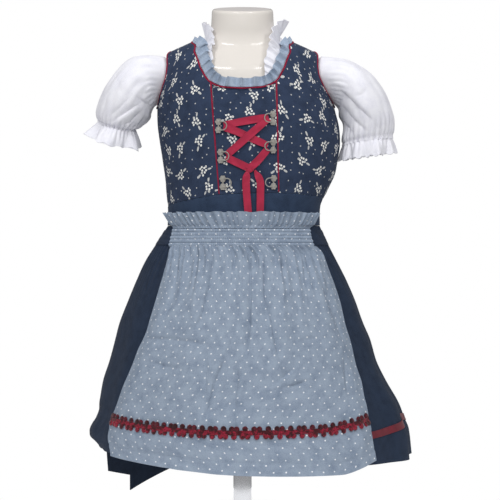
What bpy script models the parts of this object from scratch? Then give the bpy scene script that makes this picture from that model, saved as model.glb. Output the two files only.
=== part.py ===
"""A child's dirndl set on a limbless dress form, at real size.

The set is a sleeveless dress with a laced bodice, a puff-sleeved blouse under it
and an apron tied over it. The torso of the form carries it, on a pole and a disc.

Sizes are in millimetres here and become metres when a mesh is made.
X is to the right as the front is seen, the front faces -Y, and Z is up from the
disc's underside. An angle is in degrees round the body: 0 at the front, 90 at the
right side, -90 at the left side and 180 at the back.
"""

from math import cos, pi, radians, sin, tan

import bmesh
import bpy
import numpy as np
from mathutils import Matrix, Vector

MM = 0.001

# Gaps and cloth
SEAM = 0.3
FORM_INSET = 3.8
BLOUSE_IN, BLOUSE_OUT = -0.1, 1.1
BODICE_IN, BODICE_OUT = 3.1, 4.7
SKIRT_WALL = 1.6
APRON_WALL = 1.2
APRON_LIFT = 0.7
TRIM_WALL = 1.0
PIPING_RADIUS = 1.0

# Dress form: height, half width, depth to the front, depth to the back
FORM = (
    (290, 84, 66, 66),
    (310, 89, 71, 73),
    (335, 87, 72, 72),
    (360, 84, 71, 66),
    (385, 82, 69, 61),
    (410, 83, 69, 61),
    (440, 86, 70, 64),
    (470, 90, 71, 68),
    (500, 93, 70, 70),
    (525, 94.5, 65, 68),
    (545, 95, 59, 63),
    (556, 93.5, 52, 57),
    (564, 89.5, 46, 51),
    (570, 79, 42, 46),
    (575, 68, 38, 42),
    (580, 57, 35, 38),
    (586, 46.5, 33.5, 35.5),
    (594, 40, 33, 34),
    (605, 37.5, 33, 33.5),
    (630, 36.5, 32.5, 33),
)
FORM_TOP = 623
FORM_BOTTOM = 290
NECK_CUT_SLOPE = tan(radians(12))
NECK_CUT_FROM = 594
NECK_BARE = (592, 607)
POLE_RADIUS = 11
# Stand disc: radius and height round its outline
BASE_PROFILE = ((118.5, 0), (120, 1.5), (120, 6), (117, 9), (30, 11), (20, 16), (15.5, 25))
POLE_SIDES, BASE_SIDES = 20, 32
TORSO_COLUMNS = 24
# Rings of the form: height and how far the ring is drawn in
TORSO_RINGS = (
    (290, 9), (293, 3), (299, 0), (315, 0), (340, 0), (365, 0), (390, 0), (420, 0), (455, 0), (490, 0),
    (520, 0), (542, 0), (556, 0), (565, 0), (572, 0), (579, 0), (587, 0), (597, 0), (620, 0), (623, 2.5),
)

# How far the dress stands off the form: height, left, right, front, back
EASE = (
    (355, 1, 4, 2, 0.5),
    (388, 3, 7, 3, 1.5),
    (406, 4, 14, 3, 2),
    (430, 4.5, 22.5, 3.5, 2),
    (454, 5, 23.5, 3.5, 2),
    (478, 5.5, 20.5, 3, 2.5),
    (503, 4, 12.5, 2.5, 2.5),
    (525, 2, 4.5, 1.5, 1.5),
    (545, 0.5, 0.5, 0, 0.5),
    (560, 0, 0, 0, 0),
    (640, 0, 0, 0, 0),
)

# Skirt: height, left, right, front, back of its outer face
SKIRT = (
    (88, 184, 203, 152, 155),
    (118, 182, 200, 150, 153),
    (131, 178, 195, 149, 152),
    (148, 173, 189, 147, 150),
    (178, 168, 172, 142, 145),
    (201, 161, 161, 138, 139),
    (227, 154, 154, 131, 132),
    (245, 149, 147, 126, 126),
    (272, 138, 138, 117, 116),
    (296, 128, 127, 108, 106),
    (320, 117, 114, 98, 94),
    (343, 102.5, 102, 87, 81),
    (363, 89.5, 92.5, 77.5, 70.5),
)

# Soft waves of the skirt: height, how far they stand in and out
SKIRT_WAVES = ((88, 6), (148, 4.5), (200, 3.2), (272, 1.8), (330, 0.6), (363, 0))
SKIRT_WAVE_COUNT = 12
SKIRT_CALM = (50, 74)
TIE_CALM_MIDDLE, TIE_CALM_REACH = -133, (26, 40)

# The turned-up fold low on the left side: height on the flat cloth, height and
# distance outwards once folded
FOLD = (
    (88, 111, 2),
    (108, 130, -8),
    (117, 138.5, -8),
    (129, 142, -4),
    (137, 133, -1),
    (147, 139, 3.5),
    (163, 155, 1.5),
    (180, 180, 0),
    (363, 363, 0),
)
FOLD_MIDDLE, FOLD_REACH = -84, 32
FOLD_RIBBON_ROOM = 0.9

# Bodice: distance right of the middle at the foot and the top of each piped front
# seam, and the upper edge of the waistband
FRONT_SEAMS = {"left": (-27, -37.5), "right": (43, 40.5)}
FRONT_SEAM_FOOT, FRONT_SEAM_TOP = 399, 529
BAND_TOP = ((-180, 390), (-90, 387), (-40, 394), (-17, 398.5), (22, 401), (60, 399.5), (90, 398), (180, 390))
BAND_BOTTOM = 363.3
NECK_SHOULDER = 7
NECK_BACK = 10
# Neckline: station, angle from the front, height
NECKLINE = (
    (0, 0, 519.6),
    (1, 12, 521),
    (2, 23, 528.5),
    (3, 30, 544),
    (4, 36, 560),
    (5, 48, 572),
    (6, 77, 578),
    (7, 90, 579.5),
    (8, 112, 578),
    (9, 145, 572),
    (10, 180, 566),
)
ARMHOLE_MIDDLE, ARMHOLE_HALF = 535.5, 32.5
ARMHOLE_REACH = {"front": 24, "back": 22}
ARMHOLE_SKEW = 0.45
SLEEVE_HOLE = 0.83

# Neck ruffle: station, angle, height of its sewn edge, how tall, lean, wave
NECK_RUFFLE = (
    (0, 0, 520.4, 8, 2, 0.1),
    (1, 13, 522, 8, 2, 0.1),
    (2, 20, 526, 9, 2, 0.1),
    (3, 23.5, 533, 12, 3, 0.2),
    (4, 26, 542, 16, 6, 0.8),
    (5, 29.5, 556, 17, 12, 1.6),
    (6, 36, 568, 17, 20, 2),
    (7, 52, 580, 16, 35, 2.2),
    (8, 90, 588, 17, 55, 2.2),
    (9, 120, 588, 17, 55, 2.2),
    (10, 150, 587.5, 17, 50, 2.2),
    (11, 180, 587, 17, 50, 2.2),
)
NECK_RUFFLE_WAVES = 18
RUFFLE_GAP = 2

# Neck frill of the dress
FRILL_TALL, FRILL_LEAN, FRILL_WAVE, FRILL_WAVES = 10, 12, 1.3, 26

# Sleeves: distance from the middle plane and height of each section's centre, tilt
# below the horizontal, half height, half depth, turn to the front, gather
SLEEVES = {
    "left": (
        (110, 537, 8, 30, 38, 0, 0.6),
        (122, 531, 20, 34, 42, 0, 0.5),
        (133.5, 518.5, 40, 33.5, 43, 4, 0.5),
        (141.5, 505, 52, 31, 40, 8, 0.8),
        (146, 494, 60, 27, 34, 12, 1.2),
        (150, 486, 64, 23, 25, 14, 1.0),
    ),
    "right": (
        (116, 535, 5, 28, 38, 0, 0.6),
        (127, 530, 22, 28.5, 42, 0, 0.5),
        (137.5, 517, 43, 30, 44, 0, 0.5),
        (147, 500, 62, 30, 43, 4, 0.8),
        (151, 482, 73, 31.5, 38, 6, 1.2),
        (150, 463, 82, 29, 30, 8, 1.0),
    ),
}
CUFFS = {
    "left": (
        (150.2, 485.6, 64, 23, 25, 14, 1),
        (155, 475, 65, 28.5, 30.5, 14, 2.4),
        (159, 465, 64, 34, 36, 14, 3.2),
    ),
    "right": (
        (150, 462.6, 82, 29, 30, 8, 1),
        (150, 454, 82, 31, 34, 8, 2.4),
        (150, 445.5, 82, 32, 36, 8, 3.2),
    ),
}
SLEEVE_GATHERS = 10
SLEEVE_WALL = 1.2

# Apron: height, angle of the left edge, angle of the right edge
APRON_EDGES = (
    (80, -56, 48),
    (94, -56, 48),
    (118, -58, 47.7),
    (138, -59, 49.6),
    (161, -58, 53),
    (187, -56, 57),
    (217, -52, 57),
    (245, -49, 57),
    (300, -49, 59),
    (325, -51.5, 62),
    (337, -56, 64),
)
# Apron hem: share of the way from the left edge to the right edge, height
APRON_HEM = ((0, 97), (0.32, 87), (0.55, 81.5), (0.85, 80), (0.95, 88), (1, 93))
APRON_TOP = 336.7
APRON_GATHERS = 20
# Broad folds of the apron: share across, share of its length, how far they stand
# out, half width and half length as shares
APRON_FOLDS = (
    (0.27, 0.72, 3.5, 0.05, 0.3),
    (0.47, 0.8, 3, 0.04, 0.25),
    (0.62, 0.7, 3.5, 0.05, 0.35),
    (0.86, 0.75, 3, 0.05, 0.25),
    (0.4, 0.25, 2.5, 0.07, 0.25),
    (0.08, 0.4, 2, 0.06, 0.4),
    (0.93, 0.12, 3, 0.05, 0.12),
)
# Ends of the shirred band and its heading: height, left angle, right angle
BAND_ENDS = ((337, -57, 58.5), (358, -68, 63), (363, -77, 71), (378, -81, 75))
SHIRR_BOTTOM, SHIRR_TOP = 337, 358
SHIRR_PUFFS, SHIRR_DEEP = 7, 0.9
HEADING_TALL, HEADING_LEAN, HEADING_WAVE, HEADING_WAVES = 20, 11, 1.5, 20
# Flower braid: angle, height of its middle
BRAID_LINE = ((-59, 139), (-40, 133.5), (0, 129.4), (25, 130), (40, 135.5), (49.6, 141.6))
BRAID_WIDE = 9
RIBBON_LOW, RIBBON_HIGH = 108, 117

# Apron ties
TIE_LOW, TIE_HIGH = 340, 357.5
KNOT_ANGLE, KNOT_HEIGHT = -140, 349
KNOT_SIZE = (17, 12, 24)
# Hanging tie ends: height, angle of one edge, angle of the other edge
TIE_ENDS = {
    "tie_end_front": (
        (76, -130.2, -113),
        (88, -130.2, -113.5),
        (200, -133, -119),
        (300, -137, -126),
        (333, -139, -130),
    ),
    "tie_end_back": (
        (32, -153, -131),
        (88, -154, -131),
        (200, -151, -134.5),
        (300, -147, -137.8),
        (333, -146, -139.6),
    ),
}
TIE_END_SLANT = {"tie_end_front": 0, "tie_end_back": 27}

# Lacing: hooks by side, distance right of the middle and height
HOOKS = {
    "hook_left_top": (-27.6, 477.5),
    "hook_left_middle": (-25, 443),
    "hook_left_bottom": (-22.4, 412),
    "hook_right_top": (35.7, 486.5),
    "hook_right_middle": (36, 454.5),
    "hook_right_bottom": (36.5, 413),
}
HOOK_DISC, HOOK_THICK, HOOK_APART, HOOK_BAR, HOOK_LIFT = 4, 2.6, 9.2, 3, 0.7
LOOP_REACH, LOOP_WIDE, LOOP_WIRE, LOOP_LIFT = 9, 6, 0.6, 2.5
LACE_WIDE, LACE_WALL = 9, 0.7
# Lacing stretches: distance right of the middle, height and lift at each point
LACING = {
    "lacing_1": ((-21, 478.6, 0.4), (4, 483, 0.4), (29.5, 487, 0.4)),
    "lacing_2": ((-21, 476.4, 1.3), (-8, 471.5, 2.2), (18, 460.3, 2.2), (28.5, 455.5, 1.3)),
    "lacing_3": ((-18, 444.5, 0.4), (-11, 450.3, 0.4), (-1, 459, 1.3), (28.5, 484.5, 1.3)),
    "lacing_4": ((-18.5, 442, 1.3), (-8, 436.5, 1.3), (1, 432, 0.4)),
    "lacing_5": ((14.5, 433.5, 0.4), (22, 441, 0.4), (27.5, 448.5, 0.4)),
    "lacing_tail_left": ((5.5, 422.5, 0.4), (5, 400, 0.4), (7.8, 372.5, 0.4)),
    "lacing_tail_right": ((16, 423, 0.4), (22.3, 410, 0.4), (20.6, 372.5, 0.4)),
}
# Where the lace's knot is, and its half width, half height and half depth
LACE_KNOT_AT, LACE_KNOT_SIZE = (8, 428.5), (5.5, 4.8, 2.2)

# How finely the cloth is divided, and where its rows lie
BLOUSE_COLUMNS, BLOUSE_FIRST_ROW = 4, 2
# Stations on the neck ruffle that the blouse reaches to from each neckline station
BLOUSE_NECK = ((3, 4.2), (4, 5), (5, 6), (6, 7.2), (7, 8), (8.2, 8.6), (8.8, 9.4), (9.4, 10.3), (10, 11))
SLEEVE_COLUMNS = 30
SLEEVE_FOOT_LIFTS = (0.8, 5.5)
SEAM_TURN = 0.2
PANEL_COLUMNS = 8
# Shares of the way up a bodice panel's inner edge below its neckline corner
FRONT_ROWS = (0, 0.22, 0.44, 0.64, 0.83, 1)
BACK_ROWS = (0, 0.32, 0.58, 0.76, 0.89, 1)
ARMHOLE_ROWS = 5
FRONT_STATIONS = (3, 4, 5, 5.7, NECK_SHOULDER)
BACK_STATIONS = (9.4, 8.8, 8.2, 7.6, NECK_SHOULDER)
SKIRT_COLUMNS = 48
SKIRT_HEIGHTS = (88, RIBBON_LOW, RIBBON_HIGH, 129, 137, 147, 163, 195, 235, 280, 318, 343, 363)
APRON_ROWS = (0, 0.09, 0.17, 0.25, 0.4, 0.6, 0.8, 0.9, 1)
SHIRR_COLUMNS = 16
TIE_ROWS = 10
TIE_COLUMNS = {"left": 11, "right": 22}

# Where the trims sit on the cloth
PIPING_LIFT = (BODICE_IN + BODICE_OUT) / 2
PIPING_SIDE, NECK_PIPING_SIDE = 1.6, 2.3
CORNER_RISE, CORNER_DROP = 0.8, 1.3
# The neckline's angle at the top of a piped front seam, and the seams' feet
FRONT_CORNER = 23
FRONT_FOOT = {"left": 398.2 + SEAM, "right": 401 + SEAM}
# Room that the apron and the ties leave over the hem ribbon, and where it fades
RIBBON_ROOM, RIBBON_ROOM_FADE = 0.9, (0.18, 0.3)
APRON_GATHER, APRON_GATHER_FADE = 1.8, (0.8, 1)
TIE_LIFT, TIE_ROOM, TIE_ROOM_FADE = 1.4, 2.2, (124, 150)
KNOT_LIFT, KNOT_RADIUS = 2, 86
# Between a tie and the end of the band that it is sewn to, in degrees
TIE_GAP = 0.4

# Colours
NAVY = (0.035, 0.05, 0.085, 1)
FLORAL = (0.05, 0.07, 0.115, 1)
CHAMBRAY = (0.27, 0.34, 0.43, 1)
WHITE = (0.74, 0.74, 0.8, 1)
CRIMSON = (0.33, 0.025, 0.055, 1)
CREAM = (0.8, 0.75, 0.67, 1)
SILVER = (0.75, 0.75, 0.76, 1)


def smooth(table, key):
    """A table's row at any key, on a curve through its rows that never overshoots them."""
    rows = np.array(table, float)
    keys, values = rows[:, 0], rows[:, 1:]
    key = min(max(key, keys[0]), keys[-1])
    here = min(max(int(np.searchsorted(keys, key, side="right")) - 1, 0), len(keys) - 2)
    steps = np.diff(keys)
    slopes = np.diff(values, axis=0) / steps[:, None]

    def tangent(row):
        if row == 0 or row == len(keys) - 1:
            return slopes[min(row, len(slopes) - 1)]
        before, after = slopes[row - 1], slopes[row]
        same = before * after > 0
        return np.where(same, 2 * before * after / np.where(same, before + after, 1), 0)

    step = steps[here]
    part = (key - keys[here]) / step
    return (
        (1 + 2 * part) * (1 - part) ** 2 * values[here]
        + part * (1 - part) ** 2 * step * tangent(here)
        + part**2 * (3 - 2 * part) * values[here + 1]
        + part**2 * (part - 1) * step * tangent(here + 1)
    )


def fade(value, start, end):
    """0 at start, 1 at end and beyond, with a soft change between."""
    part = min(max((value - start) / (end - start), 0), 1)
    return part * part * (3 - 2 * part)


def around(sizes, angle, height):
    """A point of an oval section given by its left, right, front and back sizes."""
    left, right, front, back = sizes
    across, along = sin(radians(angle)), -cos(radians(angle))
    wide, deep = right if across > 0 else left, back if along > 0 else front
    return np.array((wide * across, deep * along, height))


def wrapped(angle):
    return (angle + 180) % 360 - 180


def draped(angle, height):
    """The surface that the blouse and the bodice follow: the form with its ease."""
    half, front, back = smooth(FORM, height)
    sizes = np.array((half, half, front, back)) + smooth(EASE, height)
    return around(sizes, angle, height)


def skirt(angle, height):
    """The skirt's outer face; height is measured on the flat cloth, before the fold."""
    angle = wrapped(angle)
    folded = 0.5 + 0.5 * cos(pi * min(abs(angle - FOLD_MIDDLE) / FOLD_REACH, 1))
    fold_height, fold_out = smooth(FOLD, height)
    free = fade(abs(angle), *SKIRT_CALM) * fade(abs(wrapped(angle - TIE_CALM_MIDDLE)), *TIE_CALM_REACH)
    wave = smooth(SKIRT_WAVES, height)[0] * free * (1 - folded)
    turn = radians(angle)
    out = wave * sin(SKIRT_WAVE_COUNT * turn + 0.8 * sin(3 * turn)) + folded * fold_out
    level = height + folded * (fold_height - height) if height < FOLD[-1][0] else height
    return around(smooth(SKIRT, level) + out, angle, level)


def outward(surface, angle, height, step=0.4):
    """The direction straight out of a surface."""
    side = surface(angle + step, height) - surface(angle - step, height)
    up = surface(angle, height + step) - surface(angle, height - step)
    direction = np.cross(side, up)
    return direction / np.linalg.norm(direction)


def off(surface, angle, height, lift):
    return surface(angle, height) + outward(surface, angle, height) * lift


def bodice(angle, height, lift=0):
    return off(draped, angle, height, BODICE_OUT + lift)


def hips(angle, height):
    """The outer face of the dress where the waistband meets the skirt."""
    share = fade(height, 358, 368)
    if share == 0:
        return skirt(angle, height)
    if share == 1:
        return bodice(angle, height)
    return (1 - share) * skirt(angle, height) + share * bodice(angle, height)


def finish(colour, roughness, metallic=0, name=None):
    """A material with the part's own colour; one material is shared by pieces alike."""
    name = name or "colour_" + "_".join(f"{round(part * 100)}" for part in colour[:3])
    material = bpy.data.materials.get(name) or bpy.data.materials.new(name)
    material.use_nodes = True
    shader = material.node_tree.nodes["Principled BSDF"]
    shader.inputs["Base Color"].default_value = colour
    shader.inputs["Roughness"].default_value = roughness
    shader.inputs["Metallic"].default_value = metallic
    return material


def cloth(colour):
    return finish(colour, 0.85)


def make(name, points, faces, material, crisp=40):
    """One object from points in millimetres, with its faces turned outwards."""
    mesh = bpy.data.meshes.new(name)
    mesh.from_pydata([tuple(point) for point in np.asarray(points) * MM], [], faces)
    shell = bmesh.new()
    shell.from_mesh(mesh)
    bmesh.ops.recalc_face_normals(shell, faces=shell.faces)
    if shell.calc_volume(signed=True) < 0:
        bmesh.ops.reverse_faces(shell, faces=shell.faces)
    shell.to_mesh(mesh)
    shell.free()
    mesh.materials.append(material)
    mesh.shade_smooth()
    mesh.set_sharp_from_angle(angle=radians(crisp))
    thing = bpy.data.objects.new(name, mesh)
    bpy.context.collection.objects.link(thing)
    return thing


def wall(name, outer, inner, material, closed=False, crisp=60):
    """A closed wall between two grids of points, each indexed by row and column."""
    outer, inner = np.asarray(outer), np.asarray(inner)
    rows, columns = outer.shape[:2]
    spans = columns if closed else columns - 1

    def at(side, row, column):
        return side * rows * columns + row * columns + column % columns

    faces = []
    for column in range(spans):
        after = column + 1
        for row in range(rows - 1):
            upper = row + 1
            faces.append((at(0, row, column), at(0, row, after), at(0, upper, after), at(0, upper, column)))
            faces.append((at(1, row, after), at(1, row, column), at(1, upper, column), at(1, upper, after)))
        top = rows - 1
        faces.append((at(0, 0, after), at(0, 0, column), at(1, 0, column), at(1, 0, after)))
        faces.append((at(0, top, column), at(0, top, after), at(1, top, after), at(1, top, column)))
    if not closed:
        end = columns - 1
        for row in range(rows - 1):
            faces.append((at(0, row, 0), at(0, row + 1, 0), at(1, row + 1, 0), at(1, row, 0)))
            faces.append((at(0, row + 1, end), at(0, row, end), at(1, row, end), at(1, row + 1, end)))
    points = np.concatenate((outer.reshape(-1, 3), inner.reshape(-1, 3)))
    return make(name, points, faces, material, crisp)


def surface_wall(name, surface, places, low, high, material, closed=False):
    """A wall that follows a surface. Each place is an angle and a height, and where it
    is not the same all over, what the wall's outer and inner face add to high and low."""
    outer = [[off(surface, place[0], place[1], high + sum(place[2:])) for place in row] for row in places]
    inner = [[off(surface, place[0], place[1], low + sum(place[2:3])) for place in row] for row in places]
    return wall(name, outer, inner, material, closed)


def patched_wall(name, surface, grids, low, high, material):
    """A wall over grids of places that meet edge to edge."""
    numbers, faces, edges = {}, [], {}

    def number(place):
        return numbers.setdefault((round(place[0], 2), round(place[1], 2)), len(numbers))

    for grid in grids:
        for row, above in zip(grid, grid[1:]):
            for k in range(len(row) - 1):
                face = [number(place) for place in (row[k], row[k + 1], above[k + 1], above[k])]
                faces.append(face)
                for one, two in zip(face, face[1:] + face[:1]):
                    edges[frozenset((one, two))] = edges.get(frozenset((one, two)), 0) + 1
    outer = [off(surface, angle, height, high) for angle, height in numbers]
    inner = [off(surface, angle, height, low) for angle, height in numbers]
    count = len(numbers)
    sides = [tuple(edge) for edge, used in edges.items() if used == 1]
    faces += [[count + corner for corner in face] for face in faces]
    faces += [(one, two, count + two, count + one) for one, two in sides]
    return make(name, outer + inner, faces, material, crisp=60)


def across(left, right, columns):
    """Rows of places between the matching places of a left and a right edge."""
    shares = np.linspace(0, 1, columns + 1)
    pairs = [(np.array(one), np.array(other)) for one, other in zip(left, right)]
    return [[tuple(one + share * (other - one)) for share in shares] for one, other in pairs]


def tube(name, centres, radius, material, closed=False, sides=4, normals=None):
    """A thin rope of cloth or wire along a line of points."""
    centres = np.asarray(centres, float)
    count = len(centres)
    rings = []
    for index, centre in enumerate(centres):
        before = centres[index - 1] if closed or index else centre
        after = centres[(index + 1) % count] if closed or index < count - 1 else centre
        along = (after - before) / np.linalg.norm(after - before)
        up = np.array((0, 0, 1.0)) if normals is None else normals[index]
        side = np.cross(along, up)
        side /= np.linalg.norm(side)
        up = np.cross(side, along)
        turns = [2 * pi * (k + 0.5) / sides for k in range(sides)]
        rings.append([centre + radius * (cos(turn) * side + sin(turn) * up) for turn in turns])
    points = np.array(rings).reshape(-1, 3)
    faces = []
    for index in range(count if closed else count - 1):
        after = (index + 1) % count
        for k in range(sides):
            nearby = (k + 1) % sides
            here, beyond = index * sides, after * sides
            faces.append((here + k, here + nearby, beyond + nearby, beyond + k))
    if not closed:
        faces.append(tuple(reversed(range(sides))))
        faces.append(tuple((count - 1) * sides + k for k in range(sides)))
    return make(name, points, faces, material)


def offset(grid, distance, closed=False, centre=None):
    """A grid of points moved along its own surface's direction, away from its middle."""
    grid = np.asarray(grid, float)
    if closed:
        side = np.roll(grid, -1, axis=1) - np.roll(grid, 1, axis=1)
    else:
        side = np.gradient(grid, axis=1)
    up = np.gradient(grid, axis=0)
    direction = np.cross(side, up)
    direction /= np.linalg.norm(direction, axis=2, keepdims=True)
    middle = grid.mean(axis=1, keepdims=True) if centre is None else np.asarray(centre)
    if (direction * (grid - middle)).sum() < 0:
        direction = -direction
    return grid + distance * direction


def along_loop(line, shares, closed=False):
    """Points at shares of the length of a broken line, with all that goes with them."""
    line = np.asarray(line, float)
    if closed:
        line = np.concatenate((line, line[:1]))
    lengths = np.linalg.norm(np.diff(line[:, :3], axis=0), axis=1)
    reached = np.concatenate(((0,), np.cumsum(lengths)))
    wanted = np.asarray(shares) * reached[-1]
    columns = range(line.shape[1])
    return np.array([[np.interp(place, reached, line[:, k]) for k in columns] for place in wanted])


def lofted(name, rings, material, crisp=40):
    """A solid through rings of points, closed flat at both ends."""
    count = len(rings[0])
    faces = [tuple(reversed(range(count))), tuple((len(rings) - 1) * count + k for k in range(count))]
    for ring in range(len(rings) - 1):
        for k in range(count):
            nearby = (k + 1) % count
            low, high = ring * count, (ring + 1) * count
            faces.append((low + k, low + nearby, high + nearby, high + k))
    return make(name, np.concatenate(rings), faces, material, crisp)


def round_ring(radius, height, count):
    turns = np.arange(count) * 2 * pi / count
    return np.array([(radius * cos(turn), radius * sin(turn), height) for turn in turns])


# Dress form

def build_form():
    shell = finish(CREAM, 0.22, name="form_gloss")
    rings = []
    for height, drawn in TORSO_RINGS:
        inset = FORM_INSET * (1 - fade(height, *NECK_BARE))
        half, front, back = smooth(FORM, height) - drawn - inset
        turns = np.arange(TORSO_COLUMNS) * 360 / TORSO_COLUMNS
        ring = np.array([around((half, half, front, back), turn, height) for turn in turns])
        ring[:, 2] += fade(height, NECK_CUT_FROM, FORM_TOP) * ring[:, 1] * NECK_CUT_SLOPE
        rings.append(ring)
    lofted("form_torso", rings, shell)
    metal = finish((0.6, 0.6, 0.62, 1), 0.12, 1, name="stand_chrome")
    foot = BASE_PROFILE[-1][1] + SEAM
    ends = (foot, FORM_BOTTOM - SEAM)
    lofted("stand_pole", [round_ring(POLE_RADIUS, height, POLE_SIDES) for height in ends], metal)
    lofted("stand_base", [round_ring(radius, height, BASE_SIDES) for radius, height in BASE_PROFILE], metal)


# Places on the torso

def armhole(side, share, scale=1):
    """Angle from the front and height on the armhole's edge, from its foot to the shoulder."""
    turn = pi * share
    away = ARMHOLE_REACH[side] * scale * sin(turn) * (1 - ARMHOLE_SKEW * cos(turn))
    away = max(away, SEAM_TURN)
    return (90 - away if side == "front" else 90 + away), ARMHOLE_MIDDLE - ARMHOLE_HALF * scale * cos(turn)


def armhole_loop(count, scale):
    """Places all round the armhole, from the shoulder down its front and up its back."""
    turns = [2 * k / count for k in range(count)]
    front = [armhole("front", 1 - turn, scale) for turn in turns if turn <= 1]
    return front + [armhole("back", turn - 1, scale) for turn in turns if turn > 1]


def angle_at(distance, height):
    """The angle at which the bodice is that far right of the middle."""
    half = smooth(FORM, height)[0] + smooth(EASE, height)[0 if distance < 0 else 1] + BODICE_OUT
    return np.degrees(np.arcsin(distance / half))


def seam_angle(side, height):
    foot, top = FRONT_SEAMS[side]
    share = (height - FRONT_SEAM_FOOT) / (FRONT_SEAM_TOP - FRONT_SEAM_FOOT)
    return angle_at(foot + share * (top - foot), height)


def neckline(station):
    angle, height = smooth(NECKLINE, station)
    return min(angle, 180 - SEAM_TURN) if station > NECK_SHOULDER else angle, height


def neck_height(angle):
    return smooth([(row[1], row[2]) for row in NECKLINE], abs(angle))[0]


def mirrored(places, side):
    return places if side == "right" else [(-angle, height) for angle, height in places]


# Blouse

def blouse_side(side, part):
    """Places under one bodice panel, and the strip from its neckline to the neck ruffle."""
    if part == "front":
        panel = front_panel(side, 0, 0, BLOUSE_COLUMNS)
        stations = FRONT_STATIONS
    else:
        panel = back_panel(side, BLOUSE_COLUMNS)
        stations = (NECK_BACK,) + BACK_STATIONS
    strip_rows = []
    for station, row in zip(stations, panel[-len(stations):]):
        near = row[0]
        angle, height = smooth(NECK_RUFFLE, smooth(BLOUSE_NECK, station)[0])[:2]
        angle = abs(near[0]) if station in (NECK_SHOULDER, NECK_BACK) else angle
        far = (angle if near[0] > 0 else -angle, height)
        strip_rows.append([far, near])
    return [panel[BLOUSE_FIRST_ROW:], strip_rows]


def welded_angle(angle):
    """Both halves of the back end on the same line at its middle."""
    return 180 if abs(angle) > 180 - 2 * SEAM_TURN else angle % 360


def build_blouse_body():
    """The front and the back, under the bodice and out to the neck ruffle."""
    grids = blouse_side("left", "front") + blouse_side("right", "front")
    left, right = grids[0], grids[2]
    rows = len(FRONT_ROWS) - BLOUSE_FIRST_ROW
    middle = across([row[0] for row in left[:rows]], [row[0] for row in right[:rows]], BLOUSE_COLUMNS)
    grids.append(under_neckline(middle, FRONT_ROWS[BLOUSE_FIRST_ROW:]))
    patched_wall("blouse_front", draped, grids, BLOUSE_IN, BLOUSE_OUT, cloth(WHITE))
    grids = []
    for grid in blouse_side("left", "back") + blouse_side("right", "back"):
        grids.append([[(welded_angle(angle), height) for angle, height in row] for row in grid])
    patched_wall("blouse_back", draped, grids, BLOUSE_IN, BLOUSE_OUT, cloth(WHITE))


def sleeve_ring(row, sign, count, gathers):
    out, height, tilt, tall, deep, turned, gather = row
    tilt, turned = radians(tilt), radians(turned)
    axis = np.array((sign * cos(tilt), 0, -sin(tilt)))
    upward = np.array((sign * sin(tilt), 0, cos(tilt)))
    forward = np.array((0, -1, 0)) * cos(turned) - axis * sin(turned)
    centre = np.array((sign * out, 0, height))
    ring = []
    for k in range(count):
        turn = 2 * pi * k / count
        swell = gather * cos(gathers * turn)
        ring.append(centre + upward * (tall + swell) * cos(turn) + forward * (deep + swell) * sin(turn))
    return ring


def build_sleeves():
    for side, sign in (("left", -1), ("right", 1)):
        rings = []
        for lift in SLEEVE_FOOT_LIFTS:
            places = mirrored(armhole_loop(SLEEVE_COLUMNS, SLEEVE_HOLE), side)
            rings.append([off(draped, angle, height, lift) for angle, height in places])
        rings += [sleeve_ring(row, sign, SLEEVE_COLUMNS, SLEEVE_GATHERS) for row in SLEEVES[side]]
        wall(f"sleeve_{side}", rings, offset(rings, -SLEEVE_WALL, closed=True), cloth(WHITE), closed=True)
        rings = [sleeve_ring(row, sign, SLEEVE_COLUMNS, SLEEVE_GATHERS) for row in CUFFS[side]]
        wall(f"cuff_ruffle_{side}", rings, offset(rings, -TRIM_WALL, closed=True), cloth(WHITE), closed=True)


def rim(surface, places, lift):
    """Along a closed loop of places: points off a surface, the direction across the loop
    and the direction out of the surface."""
    points = np.array([off(surface, angle, height, lift) for angle, height in places])
    normals = np.array([outward(surface, angle, height) for angle, height in places])
    along = np.roll(points, -1, axis=0) - np.roll(points, 1, axis=0)
    inward = np.cross(normals, along)
    inward /= np.linalg.norm(inward, axis=1, keepdims=True)
    return points, inward, normals


def ruffle(name, base, inward, normals, shape, waves, bands, material):
    """A gathered strip that stands on a closed loop. Each row of shape says how tall it
    is, how far it leans outwards in degrees, and how far its free edge waves."""
    count = waves * 3
    line = along_loop(np.hstack((base, inward, normals, shape)), np.arange(count) / count, closed=True)
    outer, inner = [], []
    for band in range(bands + 1):
        share = band / bands
        faces = [], []
        for k, (*values, tall, lean, wave) in enumerate(line):
            point, toward, out = np.array(values).reshape(3, 3)
            lean = radians(lean)
            across_strip = out * cos(lean) - toward * sin(lean)
            middle = point + share * tall * (toward * cos(lean) + out * sin(lean))
            middle = middle + across_strip * wave * share**0.7 * sin(2 * pi * (k % 3) / 3)
            faces[0].append(middle + across_strip * TRIM_WALL / 2)
            faces[1].append(middle - across_strip * TRIM_WALL / 2)
        outer.append(faces[0])
        inner.append(faces[1])
    wall(name, outer, inner, material, closed=True)


def both_sides(half):
    """A closed loop of places from its right half, which runs from the front to the back."""
    return half + [(-angle, height) for angle, height in reversed(half) if 1 < angle < 179]


def build_neck_ruffle():
    rows = [smooth(NECK_RUFFLE, station) for station in np.linspace(0, 11, 34)]
    half = [(row[0], row[1]) for row in rows]
    shape = [tuple(row[2:]) for row in rows]
    shape = shape + [values for place, values in list(zip(half, shape))[::-1] if 1 < place[0] < 179]
    base, inward, normals = rim(draped, both_sides(half), BLOUSE_IN + TRIM_WALL / 2)
    base = base + inward * RUFFLE_GAP
    ruffle("neck_ruffle", base, inward, normals, np.array(shape), NECK_RUFFLE_WAVES, 2, cloth(WHITE))


# Bodice


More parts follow.
